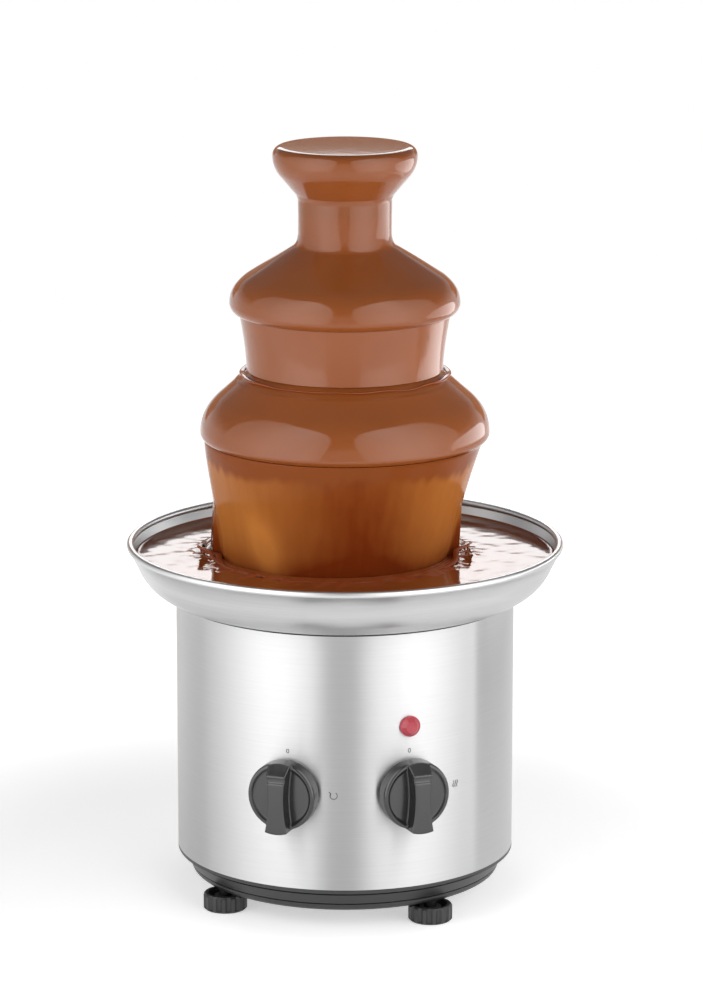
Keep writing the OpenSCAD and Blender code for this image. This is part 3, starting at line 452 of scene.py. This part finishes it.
chocolate = chocolate_finish("melted_milk_chocolate", 0.09, 0.42, COATED, "#9C572A")
folded = chocolate_finish("folded_milk_chocolate", 0.15, 0.36, "#8E4523", "#9C522B")
print("finishes", chocolate.name, folded.name)

# %% [markdown]
# A falling sheet is only about a millimetre thick, so light comes through it, and it turns from a deep red
# brown to amber where it thins. How thick it is, and how far the opaque chocolate of the bell still covers
# it below the drip edge, is worked out with the sheet's shape and kept on its points. The darker foot, and
# part of the darker sides, kept with that thickness are a painted reflection of brown chocolate. Fine
# upright streaks follow the flow.

# %% Finish: falling chocolate sheet
sheet_finish, tree, shader = new_finish(
    "thin_falling_chocolate",
    {
        "Roughness": 0.12,
        "IOR": CHOCOLATE_IOR,
        "Specular IOR Level": 0.06,
        "Subsurface Weight": 0.2,
        "Subsurface Radius": (1.0, 0.4, 0.15),
        "Subsurface Scale": 0.003,
    },
)
thick = add(tree, "ShaderNodeAttribute", {"attribute_name": "thickness"})
covered = add(tree, "ShaderNodeAttribute", {"attribute_name": "cover"})
# Streaks are about 5 mm wide and some 170 mm long, so the height is squeezed before the noise reads it.
streaked = add(tree, "ShaderNodeMath", {"operation": "MULTIPLY_ADD"},
               {0: noise(tree, 5, 3.0, (1, 1, 0.03)), 1: 0.2, 2: -0.1})
depth = add(tree, "ShaderNodeMath", {"operation": "ADD", "use_clamp": True},
            {0: thick.outputs["Fac"], 1: streaked.outputs[0]})
amber = blend(tree, depth.outputs[0], linear("#C27B3A"), linear("#78310F"))
coated = blend(tree, covered.outputs["Fac"], amber, linear(COATED))
tree.links.new(coated, shader.inputs["Base Color"])
print("finish", sheet_finish.name)

# %% [markdown]
# The bells' coats. A coat is a closed shell: its outside is the bell's line, its inside is the same line
# moved in by the film, and both are carried round the axis. The film runs thin on the slope and gathers at
# the shoulder and the neck. Where a falling sheet lands on the lower bell, the outside rises in a low
# swell that dies away outwards.

# %% Coats of the bells
TURNS = 360
THETA = np.linspace(0, 2 * np.pi, TURNS, endpoint=False)[:, None]
# Millimetres that the film loses on a slope, and the slope in degrees from which it keeps them.
SLOPE_THINS = 0.85
STEEP = 80
# Millimetres of the film's unevenness, and how far from a line's end it is held off and fades in.
UNEVEN = 0.075
HOLD = 8
# Height of the swell at the landing, and the distance over which it dies away.
LANDING_RISE = 0.5
LANDING_FADE = 2.6
SHEET_FOOT_UPPER = 47.0
LANDING_R = SHEET_FOOT_UPPER + 4.5


def soft_step(share):
    """Smooth step from 0 to 1: three times the square of a share less twice its cube."""
    share = np.clip(share, 0, 1)
    return share * share * (3 - 2 * share)


def waves(theta, seed, lowest, highest):
    """Smooth noise round a circle: a sum of cosines of whole waves, with random phases and shares."""
    random = np.random.default_rng(seed)
    counts = np.arange(lowest, highest + 1)
    share = random.normal(size=len(counts)) / np.sqrt(len(counts))
    phase = random.uniform(0, 2 * np.pi, len(counts))
    return (share * np.cos(theta[..., None] * counts + phase)).sum(-1)


def carry_round(r, z):
    """Grid from a radius and a height that may change round the axis: x = r sin, y = -r cos of the turn."""
    r, z = np.broadcast_arrays(r, z)
    return np.stack([r * np.sin(THETA), -r * np.cos(THETA), z], -1)


def spin(line):
    """Grid of one line of radii and heights that is carried round the axis unchanged."""
    return carry_round(line[:, 0][None, :] + 0 * THETA, line[:, 1][None, :])


def drift(theta, run, seed):
    """Slow unevenness of a flowing film: whole waves round it, crossed with waves of 25 to 80 mm down it."""
    random = np.random.default_rng(seed)
    count = 16
    around = random.integers(2, 13, count)
    along = 2 * np.pi / random.uniform(25, 80, count) * random.choice([-1, 1], count)
    phase = random.uniform(0, 2 * np.pi, count)
    swing = theta[..., None] * around + run[..., None] * along + phase
    return np.sqrt(2 / count) * np.cos(swing).sum(-1)


def coat_grid(bell, seed, landing=None):
    """Closed coat: the outside, thinned on the slope and lifted at a landing, and the inside line back."""
    outside = bell_line(bell, 0, 180)
    inside = bell_line(bell, FILM, 60)[::-1]
    r, z = outside[:, 0][None, :], outside[:, 1][None, :]
    tangent = np.gradient(outside, axis=0)
    tangent /= np.linalg.norm(tangent, axis=1)[:, None]
    steep = np.degrees(np.arctan2(np.abs(tangent[:, 1]), np.abs(tangent[:, 0])))[None, :]
    lying = np.clip((STEEP - steep) / (STEEP - bell["slope"]), 0, 1) * (z > bell["z"])
    run = np.cumsum(np.hypot(*np.diff(outside, axis=0, prepend=outside[:1]).T))[None, :]
    # The unevenness is held off both ends of the line, so that a coat keeps clear of its neighbours there.
    held = np.clip(run / HOLD, 0, 1) * np.clip((run[:, -1:] - run - HOLD) / HOLD, 0, 1)
    rise = UNEVEN * held * drift(THETA, run, seed) - SLOPE_THINS * soft_step(lying)
    if landing is not None:
        out = r - landing
        fade = np.clip(out / 0.8, 0, 1) * np.exp(-np.clip(out, 0, None) / LANDING_FADE)
        fade = fade * (z > bell["z"] + 2)
        rise = rise + LANDING_RISE * fade * (0.6 + 0.4 * waves(THETA, 4, 1, 6))
    outer = carry_round(r + rise * tangent[:, 1], z - rise * tangent[:, 0])
    return np.concatenate([outer, spin(inside)], 1)


stand_in(mesh_from_grid("upper_bell_coat", coat_grid(UPPER, 41), True, True),
         "upper_coat", chocolate)
stand_in(mesh_from_grid("lower_bell_coat", coat_grid(LOWER, 42, LANDING_R), True, True),
         "lower_coat", chocolate)

# %% [markdown]
# Where a sheet lands, thick chocolate folds over itself like poured honey and lies in ropes. A rope is a
# ring with an oval section: its radius from the axis wanders, and its own thickness swells and thins round
# the way, most at the sides, where the sheet's edges gather more liquid.

# %% Ropes where the sheets land
def signed_turn(theta):
    """Turn from the front, from minus to plus half a round."""
    return (theta + np.pi) % (2 * np.pi) - np.pi


TURN = signed_turn(THETA)
ASIDE = np.abs(TURN)
ROPE_R = 49.2
ROPE_T = 1.5
ROPE_WANDER = 0.25


def rope_grid(middle, level, thick, seed):
    """Ring with an oval section round a middle line at a level: thick at the sides, thin in front."""
    way = np.linspace(0, 2 * np.pi, 16, endpoint=False)[None, :]
    sides = 0.3 + 0.7 * np.clip((ASIDE - 0.6) / 0.6, 0, 1)
    size = thick * sides * np.clip(0.85 + 0.30 * waves(THETA, seed, 2, 6), 0.5, 1.3)
    r = middle + 1.3 * size * np.cos(way)
    return carry_round(r, level + 0.6 * size * (1 + np.sin(way)) - 0.5 * size)


def on_lower_cone(r):
    """Height of the lower bell's outside at a radius, read between the points of its line."""
    line = bell_line(LOWER, 0, 400)
    return np.interp(r, line[::-1, 0], line[::-1, 1])


middle = ROPE_R + ROPE_WANDER * waves(THETA, 31, 3, 14)
rope_points = rope_grid(middle, on_lower_cone(middle), ROPE_T, 32)
rope = mesh_from_grid("upper_landing_rope", rope_points, True, True)
rope.data.materials.append(folded)
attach(rope, BODY["lower_coat"])
print("upper landing rope with", len(rope.data.polygons), "faces")

# %% [markdown]
# The crown is a small cup that brims over. Its chocolate rises in the middle, over the screw, runs to the
# edge and over a rounded lip, and its thin skirt runs on down over the neck, so that no joint shows there.
# The swell that the screw pushes up under it is a piece of its own, because it turns with the screw.

# %% Crown and swell
# Radii of the cup's side, of its lip and of the flat dome, and the thin skirt below, in millimetres.
CUP_R = 15.0
LIP_R = 4.4
DOME_R = 30.0
DOME_RISE = 0.25
DOME_T = 0.3
SKIRT = 6.0
SKIRT_GAP = 0.03
CROWN_LOW, CROWN_TOP = heights("crown_chocolate")
CROWN_Z = CROWN_TOP - LIP_R
SWELL_LOW = heights("chocolate_swell")[0]
SWELL_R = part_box("chocolate_swell")[1][0] / MM
u = np.linspace(0, 1, 60)[:, None]
dome = np.concatenate([DOME_R * (1 - u), CROWN_TOP + DOME_RISE * (2 * u - u ** 2)], 1)
crown_outside = np.concatenate([
    [[NECK_R + 0.05, CROWN_LOW - SKIRT], [NECK_R + 0.1, CROWN_LOW], [NECK_R + 0.3, CROWN_LOW + 1.6]],
    arc((DOME_R + LIP_R - CUP_R, CROWN_Z), CUP_R, -40, 0, 44),
    arc((DOME_R, CROWN_Z), LIP_R, 0, 90, 32)[1:],
    dome[1:],
])
crown_inside = np.concatenate([
    dome[::-1] - [0, DOME_T],
    [[28.0, CROWN_TOP - FILM], [31.0, CROWN_Z]],
    [[NECK_R + SKIRT_GAP, CROWN_LOW], [NECK_R + SKIRT_GAP, CROWN_LOW - SKIRT]],
])
crown_line = np.concatenate([resample(crown_outside, 190), resample(crown_inside, 60)])
stand_in(mesh_from_grid("crown_film", spin(crown_line), True, True),
         "crown_chocolate", chocolate)

u = np.linspace(0, 1, 40)[None, :]
swell_r = np.concatenate([SWELL_R * u, SWELL_R * (1 - u)], 1)
swell_z = np.concatenate([CROWN_TOP - 0.15 - 0.4 * u ** 2, SWELL_LOW + 0 * u], 1)
swell_grid = carry_round(swell_r + 0 * THETA, swell_z)
stand_in(mesh_from_grid("swell_over_screw", swell_grid, True, False),
         "chocolate_swell", chocolate)

# %% [markdown]
# The two falling sheets. A sheet leaves the drip edge and draws in as it falls, because the liquid pulls it
# together: its radius is the foot's radius plus the difference times a power of the height. Soft upright
# folds run down it. The lower one leans a little to the left, as a sheet does when the fountain doesn't
# stand quite level. Its front draws in more than its back, and a pleat at each side joins the two. It is
# thick and brown at the top, thins to amber below, and is thickest where two flows meet in front.

# %% Falling sheets
# Radii and lengths are in millimetres, and turns are in radians from the front.
SHEET_T = 1.2
SHEET_LEAN = -4.8
SHEET_TOP_UPPER = 50.5
SHEET_TOP_LOWER = 67.0
FRONT_R = 51.8
FRONT_OPENS = 2.4
PLEAT = 5.4
PLEAT_TURN = 1.37
# Each strand has its turn from the front, its width in radians and how far it stands out.
STRANDS = [(-1.30, 0.025, 0.5), (-1.60, 0.03, 0.5), (1.30, 0.025, 0.5), (1.58, 0.03, 0.5), (2.4, 0.03, 0.5)]


def runs(u):
    """How far a strand stands out along the sheet: nothing above the lower part, most at the foot."""
    return np.clip((0.62 - u) / 0.4, 0, 1)


def sheet_grid(foot, top, low, high, power, fold, seed, strands=(), lean=0.0, pleat=0.0):
    """Closed sheet of radius foot + (top - foot) * u ** power, with folds, strands, a pleat and a lean."""
    u = np.linspace(0, 1, 90)[None, :]
    folds = fold * (0.4 + 0.6 * (1 - u)) * np.clip((1 - u) / 0.15, 0, 1) * np.clip(u / 0.05, 0.3, 1)
    r = foot + (top - foot) * u ** power + folds * waves(THETA + 0.05 * u, seed, 5, 22)
    r = r + pleat * np.clip(1 - u / 0.45, 0, 1)
    for turn, width, size in strands:
        sway = TURN - turn + 0.03 * np.sin(9 * u + 3 * turn)
        r = r + size * np.exp(-(sway / width) ** 2) * runs(u)
    z = low + (high - low) * u
    outer = carry_round(r, z)
    inner = carry_round(r - SHEET_T, z)
    sheet = np.concatenate([outer, inner[:, ::-1]], 1)
    height = np.concatenate([0 * THETA + u, 0 * THETA + u[:, ::-1]], 1)
    sheet[..., 0] += lean * np.sqrt(1 - height)
    return sheet, height


def lower_front(theta):
    """Radius to which the lower sheet draws in: least in the middle of the front, more towards the sides."""
    return FRONT_R + FRONT_OPENS * np.clip(np.abs(signed_turn(theta)) / 1.34, 0, 1) ** 2


def lower_pleat(theta):
    """How far the back of the sheet stands out past its front at the foot: a smooth step at each side."""
    return PLEAT * soft_step((np.abs(signed_turn(theta)) - PLEAT_TURN) / 0.09)


def lower_foot(theta):
    """Radius of the lower sheet's foot, all round."""
    return lower_front(theta) + lower_pleat(theta)


upper_sheet, _ = sheet_grid(SHEET_FOOT_UPPER, SHEET_TOP_UPPER, *heights("upper_curtain"), 1.5, 0.10, 11)
stand_in(mesh_from_grid("upper_falling_sheet", upper_sheet, True, True),
         "upper_curtain", chocolate)

lower_sheet, height = sheet_grid(
    lower_front(THETA), SHEET_TOP_LOWER, *heights("lower_curtain"), 1.08, 0.35, 12,
    STRANDS, SHEET_LEAN, lower_pleat(THETA),
)
# Thick where two flows meet and at the right. The side edges are darker partly from the thick strands at
# the pleats and partly as a painted reflection of red-brown chocolate, the foot is darkened as a painted
# reflection of the brown chocolate below it, and one patch is made lighter amber.
seam = np.exp(-((TURN - 0.03) / 0.45) ** 2)
heavy = (1 - height) * np.exp(-((TURN - 0.45) / 0.35) ** 2)
# The first term darkens the side edges as a painted reflection of red-brown chocolate; the second is the
# thick strands beyond the pleats, low down.
edge = 0.5 * np.clip((ASIDE - 1.15) / 0.35, 0, 1)
edge = edge + 2 * np.clip((ASIDE - PLEAT_TURN) / 0.04, 0, 1) * np.clip((0.45 - height) / 0.2, 0, 1)
# Painted reflection: the foot is darkened as if it mirrored the brown chocolate below it.
foot = np.clip((0.22 - height) / 0.22, 0, 1) ** 1.5
pale = np.exp(-((TURN + 0.62 + 0.25 * height) / 0.15) ** 2) * np.exp(-((height - 0.20) / 0.30) ** 2)
slow = waves(THETA, 14, 2, 9)
thickness = 0.36 + 0.56 * seam + 0.34 * heavy + 0.26 * edge + 0.45 * foot + 0.05 * slow - 0.70 * pale
thickness = np.clip(thickness, 0, 1)
fringe = 0.02 * waves(THETA, 13, 3, 14) + 0.016 * waves(THETA, 15, 24, 70)
cover = soft_step((height - 0.80 - fringe) / 0.09)
stand_in(mesh_from_grid("lower_falling_sheet", lower_sheet, True, True,
                        {"thickness": thickness, "cover": cover}),
         "lower_curtain", sheet_finish)

# %% [markdown]
# The pool. Its top is a height over radius and turn: choppy where the sheet lands, with slow waves running
# out to the bowl's wall, and a small rise at the wall, where the liquid clings to the steel. The waves
# matter more than their size suggests: they break the white studio's reflection into ragged patches. Folds
# lie round the sheet's foot, as an apron with a ragged edge and as ropes that pile up at the sides.

# %% Pool in the bowl
POOL_Z = heights("chocolate_pool")[1]
POOL_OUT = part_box("chocolate_pool")[1][0] / MM
POOL_IN = 31.0
POOL_T = 2.0
# Heights of the waves and of the rise at the wall, in millimetres.
LONG_WAVES = 0.025
SHORT_WAVES = 0.026
WALL_RISE = 0.7
WALL_REACH = 0.8


def chop(x, y, seed, shortest, longest):
    """Choppy height of about one: plane waves of random length and direction, added up."""
    random = np.random.default_rng(seed)
    count = 24
    bend = 2 * np.pi / random.uniform(shortest, longest, count)
    way = random.uniform(0, 2 * np.pi, count)
    phase = random.uniform(0, 2 * np.pi, count)
    run = x[..., None] * np.cos(way) + y[..., None] * np.sin(way)
    return np.sqrt(2 / count) * np.cos(bend * run + phase).sum(-1)


v = np.linspace(0, 1, 200)[None, :]
r = POOL_IN + (POOL_OUT - POOL_IN) * v
x, y = r * np.sin(THETA), -r * np.cos(THETA)
from_foot = np.hypot(x - SHEET_LEAN, y) - lower_foot(np.arctan2(x - SHEET_LEAN, -y))
out = np.clip(from_foot - 0.9, 0, None)
landing = np.clip(out / 1.5, 0, 1) * np.exp(-((out + 1.5 * waves(THETA, 21, 3, 12)) / 6.5) ** 2)
landing = landing * (0.25 + 0.75 * np.clip((ASIDE - 0.3) / 0.6, 0, 1))
near = np.clip(out / 4, 0, 1) * np.exp(-(out / 13) ** 2)
far = np.clip((r - 66) / 8, 0, 1)
cling = np.exp(-(POOL_OUT - r) / WALL_REACH)
surface = POOL_Z + landing * (0.35 + 0.30 * chop(x, y, 22, 4.5, 9))
surface = surface + far * (1 - cling) * LONG_WAVES * chop(x, y, 23, 7, 24) + WALL_RISE * cling
surface = surface + SHORT_WAVES * near * (1 - cling) * chop(x, y, 29, 5, 13)
back = r[:, ::-8] + 0 * THETA
pool_r = np.concatenate([r + 0 * THETA, back - 0.8], 1)
pool_z = np.concatenate([surface, POOL_Z - POOL_T + 0 * back], 1)
stand_in(mesh_from_grid("pool_surface", carry_round(pool_r, pool_z), True, True),
         "chocolate_pool", chocolate)

# The folds spread from the sheet's foot as an apron with a ragged edge that sinks into the pool.
APRON_GAP = 1.2
APRON_T = 0.8
foot_line = lower_foot(THETA)
v = np.linspace(0, 1, 40)[None, :]
ragged = 1.8 * waves(THETA, 26, 4, 12) + 2.6 * waves(THETA, 27, 16, 44)
spread = 6.5 + 6.5 * np.clip((1.45 - ASIDE) / 0.6, 0, 1)
r = foot_line + APRON_GAP + np.clip(spread + ragged, 3.0, 20) * v
strokes = waves(THETA + 0.004 * r, 28, 20, 60) * np.clip(4 * v * (1 - v), 0, 1)
z = POOL_Z + 0.9 * (1 - v) ** 1.5 + 0.25 - 0.6 * v ** 4 + 0.26 * strokes
apron = carry_round(np.concatenate([r, r[:, ::-4]], 1), np.concatenate([z, z[:, ::-4] - APRON_T], 1))
pieces = {"landing_apron": apron}

# Each rope has its distance from the foot, its thickness and its wander, and lies over the one before it
# where they pile up.
POOL_ROPES = [(2.8, 1.1, 0.3), (4.8, 1.2, 0.5), (7.0, 1.2, 0.8)]
PILE_H = 2.6
pile = np.exp(-((ASIDE - 1.5) / 0.22) ** 2)
for number, (off, thick, wander) in enumerate(POOL_ROPES):
    seed = 51 + 5 * number
    line = foot_line + off + (3.1 + 0.4 * number - off) * pile
    middle = line + wander * waves(THETA, seed, 3, 14)
    level = POOL_Z + 0.5 + PILE_H * number * pile
    pieces[f"landing_rope_{number + 1}"] = rope_grid(middle, level, thick, seed + 1)
for name, grid in pieces.items():
    grid[..., 0] += SHEET_LEAN
    piece = mesh_from_grid(name, grid, True, True)
    piece.data.materials.append(folded)
    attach(piece, BODY["chocolate_pool"])
print("folds on the pool:", list(pieces))

# %% [markdown]
# The drum is stainless steel sheet, brushed round its length: fine scratches run level, so a reflection
# stays sharp from side to side and is drawn out up and down. That is an anisotropic gloss whose long side
# is upright. The grit leaves scratches of about 0.1 mm, too fine to show here, so they are drawn about
# 0.6 mm apart.

# %% Finish: brushed stainless steel
METAL = {"Metallic": 1.0}
LEVEL = (0.02, 0.02, 1)
brushed, tree, shader = new_finish(
    "brushed_stainless_steel",
    {"Metallic": 1.0, "Anisotropic": 1.0, "Anisotropic Rotation": 0.25},
)
vary(tree, shader, noise(tree, 0.6, 3.0, LEVEL), "#BABABB", "#C6C6C6", 0.34, 0.42)
round_z = add(tree, "ShaderNodeTangent", {"direction_type": "RADIAL", "axis": "Z"})
tree.links.new(round_z.outputs["Tangent"], shader.inputs["Tangent"])
print("finish", brushed.name)

# %% [markdown]
# The bowl is spun from the same steel and satin polished: softer, with faint rings round the axis and no
# strong direction. The zinc plated rods, screws and clips inside are duller and a little warmer.

# %% Finish: satin steel and zinc
satin = grained("satin_spun_stainless_steel", METAL, "#BBBBBC", "#CACACA", 0.8, 0.30, 0.38, 2.0, LEVEL)

zinc, tree, shader = new_finish("zinc_plated_steel", METAL)
place = add(tree, "ShaderNodeTexCoord")
spangle = add(tree, "ShaderNodeTexVoronoi", None,
              {"Vector": place.outputs["Object"], "Scale": 1 / (3 * MM)})
vary(tree, shader, spangle.outputs["Distance"], "#A5A6A4", "#C0C0BA", 0.32, 0.45)
print("finishes", satin.name, zinc.name)

# %% [markdown]
# The bowl is one spun sheet, so it is made as one line carried round: the well that drops into the drum, a
# shoulder, a large rounded corner, a leaning wall and a rolled rim, and back down the inside. Its smooth
# normals let the studio slide over it without breaks.

# %% Bowl
BOWL_H = 26.9
BOWL_T = 0.9
BOWL_LEAN = 22.0
BEAD_R = 1.7
bowl_low, bowl_high = heights("bowl")
bowl_floor = bowl_high - BOWL_H
bead = (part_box("bowl")[1][1] / MM - BEAD_R, bowl_high - BEAD_R)


def bowl_line(inset):
    """The sheet's outside, moved inwards by the inset: well fillet, shoulder, corner and wall."""
    return np.concatenate([
        [[7.7, bowl_low + inset]],
        arc((64.0, bowl_low + 7.0), 7.0 - inset, -90, 0, 16),
        arc((73.5, bowl_floor - 2.5), 2.5 + inset, 180, 90, 12),
        arc((76.71, bowl_floor + 25.0), 25.0 - inset, -90, -BOWL_LEAN, 40),
    ])


bowl_round = np.concatenate([
    resample(bowl_line(0), 90),
    arc(bead, BEAD_R, -72, 250, 40),
    resample(bowl_line(BOWL_T)[::-1], 90),
])
stand_in(mesh_from_grid("spun_bowl", spin(bowl_round), True, True), "bowl", satin)

# %% [markdown]
# The mouldings are black ABS from a finely spark-eroded mould: a satin black with a grain of about 0.5 mm
# that spreads the light. The foot wheels and the seals are rubber: blacker, duller and a little dusty.

# %% Finish: moulded black plastic and rubber
GRAIN = 0.5
plastic, tree, shader = new_finish("moulded_black_abs", {"IOR": 1.54})
grain = noise(tree, GRAIN, 2.0)
vary(tree, shader, grain, "#222223", "#333334", 0.34, 0.48)
relief = add(tree, "ShaderNodeBump", None, {"Height": grain, "Strength": 0.15, "Distance": 0.05 * MM})
tree.links.new(relief.outputs["Normal"], shader.inputs["Normal"])

rubber = grained("black_nitrile_rubber", {"IOR": 1.52}, "#0C0C0D", "#171718", 2.0, 0.5, 0.7, 4.0)
print("finishes", plastic.name, rubber.name)

# %% [markdown]
# The knobs come from a finer mould than the base, so they are blacker and smoother. Their edges are rounded
# by about a millimetre in the mould, which only shows as a line of light along them, so the shader rounds
# them.

# %% Finish: glossy black plastic
gloss_black, tree, shader = new_finish("polished_black_abs", {"IOR": 1.54, "Specular IOR Level": 0.7})
vary(tree, shader, noise(tree, 6, 3.0), "#141415", "#1D1D1E", 0.17, 0.25)
edges = add(tree, "ShaderNodeBevel", {"samples": 8}, {"Radius": 1.3 * MM})
tree.links.new(edges.outputs["Normal"], shader.inputs["Normal"])
print("finish", gloss_black.name)

# %% [markdown]
# Small marks are screen printed on the drum: a 0 over each knob, a turning arrow beside the motor's knob
# and three waves of heat beside the other. Each is a thin line of ink laid on the drum's curve: a path of
# places along the drum and heights, widened to both sides.

# %% Printed marks
DRUM_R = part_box("housing_shell")[1][0] / MM
KNOB_Z = 69.5
# Turns are in degrees to the right of the front, and the rest is in millimetres.
KNOB_TURN = 20.5
ARROW_TURN = -5.0
ARROW_R = 1.7
ARROW_Z = KNOB_Z - 1.0
HEAT_TURN = 38.5
INK = 0.03
THIN_LINE = 0.35
THICK_LINE = 0.4
ink_finish = grained("black_screen_ink", {"IOR": 1.5}, "#474748", "#5E5E5F", 0.4, 0.45, 0.65, 2.0)


def printed_line(name, turn, path, width):
    """Ribbon of ink: half the width to each side of the path, bent round the drum, pinched at its ends."""
    along = np.gradient(path, axis=0)
    along /= np.linalg.norm(along, axis=1)[:, None]
    side = np.stack([-along[:, 1], along[:, 0]], -1) * (width / 2)
    pinch = np.ones(len(path))
    pinch[[0, -1]] = 0
    side = side * pinch[:, None]
    flat = np.stack([path - side, path - side, path + side, path + side], 1)
    out = DRUM_R + INK * np.array([0.5, 1.5, 1.5, 0.5])[None, :] * (0.4 + 0.6 * pinch[:, None])
    angle = math.radians(turn) + flat[..., 0] / DRUM_R
    grid = np.stack([out * np.sin(angle), -out * np.cos(angle), flat[..., 1]], -1)
    line = mesh_from_grid(name, grid, False, True)
    line.data.materials.append(ink_finish)
    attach(line, BODY["housing_shell"])


way = np.linspace(0, 2 * np.pi, 40)
nought = np.stack([0.6 * np.sin(way), KNOB_Z + 19.6 + 0.95 * np.cos(way)], -1)
printed_line("mark_0_motor", -KNOB_TURN, nought, THIN_LINE)
printed_line("mark_0_heat", KNOB_TURN, nought, THIN_LINE)
way = np.linspace(math.radians(30), math.radians(310), 40)
turning = np.stack([ARROW_R * np.sin(way), ARROW_Z + ARROW_R * np.cos(way)], -1)
printed_line("mark_turning", ARROW_TURN, turning, THICK_LINE)
tip = turning[-1]
head = np.stack([np.linspace(-1.0, 0.1, 12), np.linspace(0.7, -0.1, 12)], -1)
printed_line("mark_turning_head_1", ARROW_TURN, tip + head, THICK_LINE)
printed_line("mark_turning_head_2", ARROW_TURN, tip + head * [0.1, -1.5], THICK_LINE)
rise = np.linspace(-1.7, 1.7, 30)
for number in range(3):
    wave = np.stack([1.15 * (number - 1) + 0.35 * np.sin(rise * 2.2), KNOB_Z - 0.5 + rise], -1)
    printed_line(f"mark_heat_{number + 1}", HEAT_TURN, wave, THICK_LINE)
print("printed marks: 8 lines of ink")

# %% [markdown]
# The pieces inside have plain workshop finishes: cast aluminium, the dark oxide of a heating rod, grey
# nylon, sintered magnets, enamelled copper wire, turned brass and white food-safe plastic. Each has its
# own small-scale pattern. The pilot lamp's lens is red acrylic that lets a little light through.

# %% Finishes of the inside
RED_ACRYLIC = {"IOR": 1.49, "Transmission Weight": 0.2}
FINISH = {
    "stainless": satin,
    "black_plastic": plastic,
    "black_rubber": rubber,
    "zinc_steel": zinc,
    "cast_aluminium": grained("cast_aluminium", METAL, "#8F9092", "#B3B4B5", 1.2, 0.42, 0.6),
    "element_steel": grained("oxidised_element_steel", METAL, "#5A5450", "#7E766E", 2.0, 0.35, 0.55),
    "moulded_grey": grained("moulded_grey_nylon", {"IOR": 1.53}, "#4A4B4D", "#5C5D5F", 0.8, 0.45, 0.6),
    "magnet": grained("sintered_ferrite", {"IOR": 1.6}, "#2E2D2E", "#3E3C3C", 0.6, 0.5, 0.65),
    "copper_winding": grained("enamelled_copper_wire", METAL, "#8E4A2A", "#B8683C", 0.5, 0.25, 0.4),
    "brass": grained("turned_brass", METAL, "#B08E46", "#CBAA5E", 1.0, 0.22, 0.34),
    "white_plastic": grained("white_food_plastic", {"IOR": 1.5}, "#E2DFD8", "#EEECE6", 1.5, 0.3, 0.42),
    "red_lens": grained("red_acrylic", RED_ACRYLIC, "#B5273A", "#CC4454", 4.0, 0.1, 0.16),
}
print("inside finishes:", len(FINISH))

# %% [markdown]
# Each CAD node gets the finish of its material slot in the record. Only the drum, which is brushed round
# its length, the smoother knobs and the studs of the feet differ from the rest of their slots. The studs
# are zinc plated, and are darkened as painted shade, because they sit in the shadow under the base.

# %% Put the finishes on the solids
SLOT_OF = {entry["node"]: entry["material_slot"] for entry in frame["record"]["subparts"]}
# Painted shade: the zinc studs sit in the shadow under the base, so they are given this dark steel.
studs_painted_shade = grained("stud_steel_painted_shade", METAL, "#232324", "#333334", 1.0, 0.4, 0.55)
SPECIAL = {"housing_shell": brushed, "motor_knob": gloss_black, "heat_knob": gloss_black}
SPECIAL.update({f"foot_stud_{number}": studs_painted_shade for number in range(1, 5)})
dressed = 0
for name, solid in frame["nodes"].items():
    if SLOT_OF[name] in FINISH:
        finish = SPECIAL.get(name, FINISH[SLOT_OF[name]])
        solid.data.materials.clear()
        solid.data.materials.append(finish)
        dressed += 1
print("solids dressed:", dressed, "of", len(frame["nodes"]))
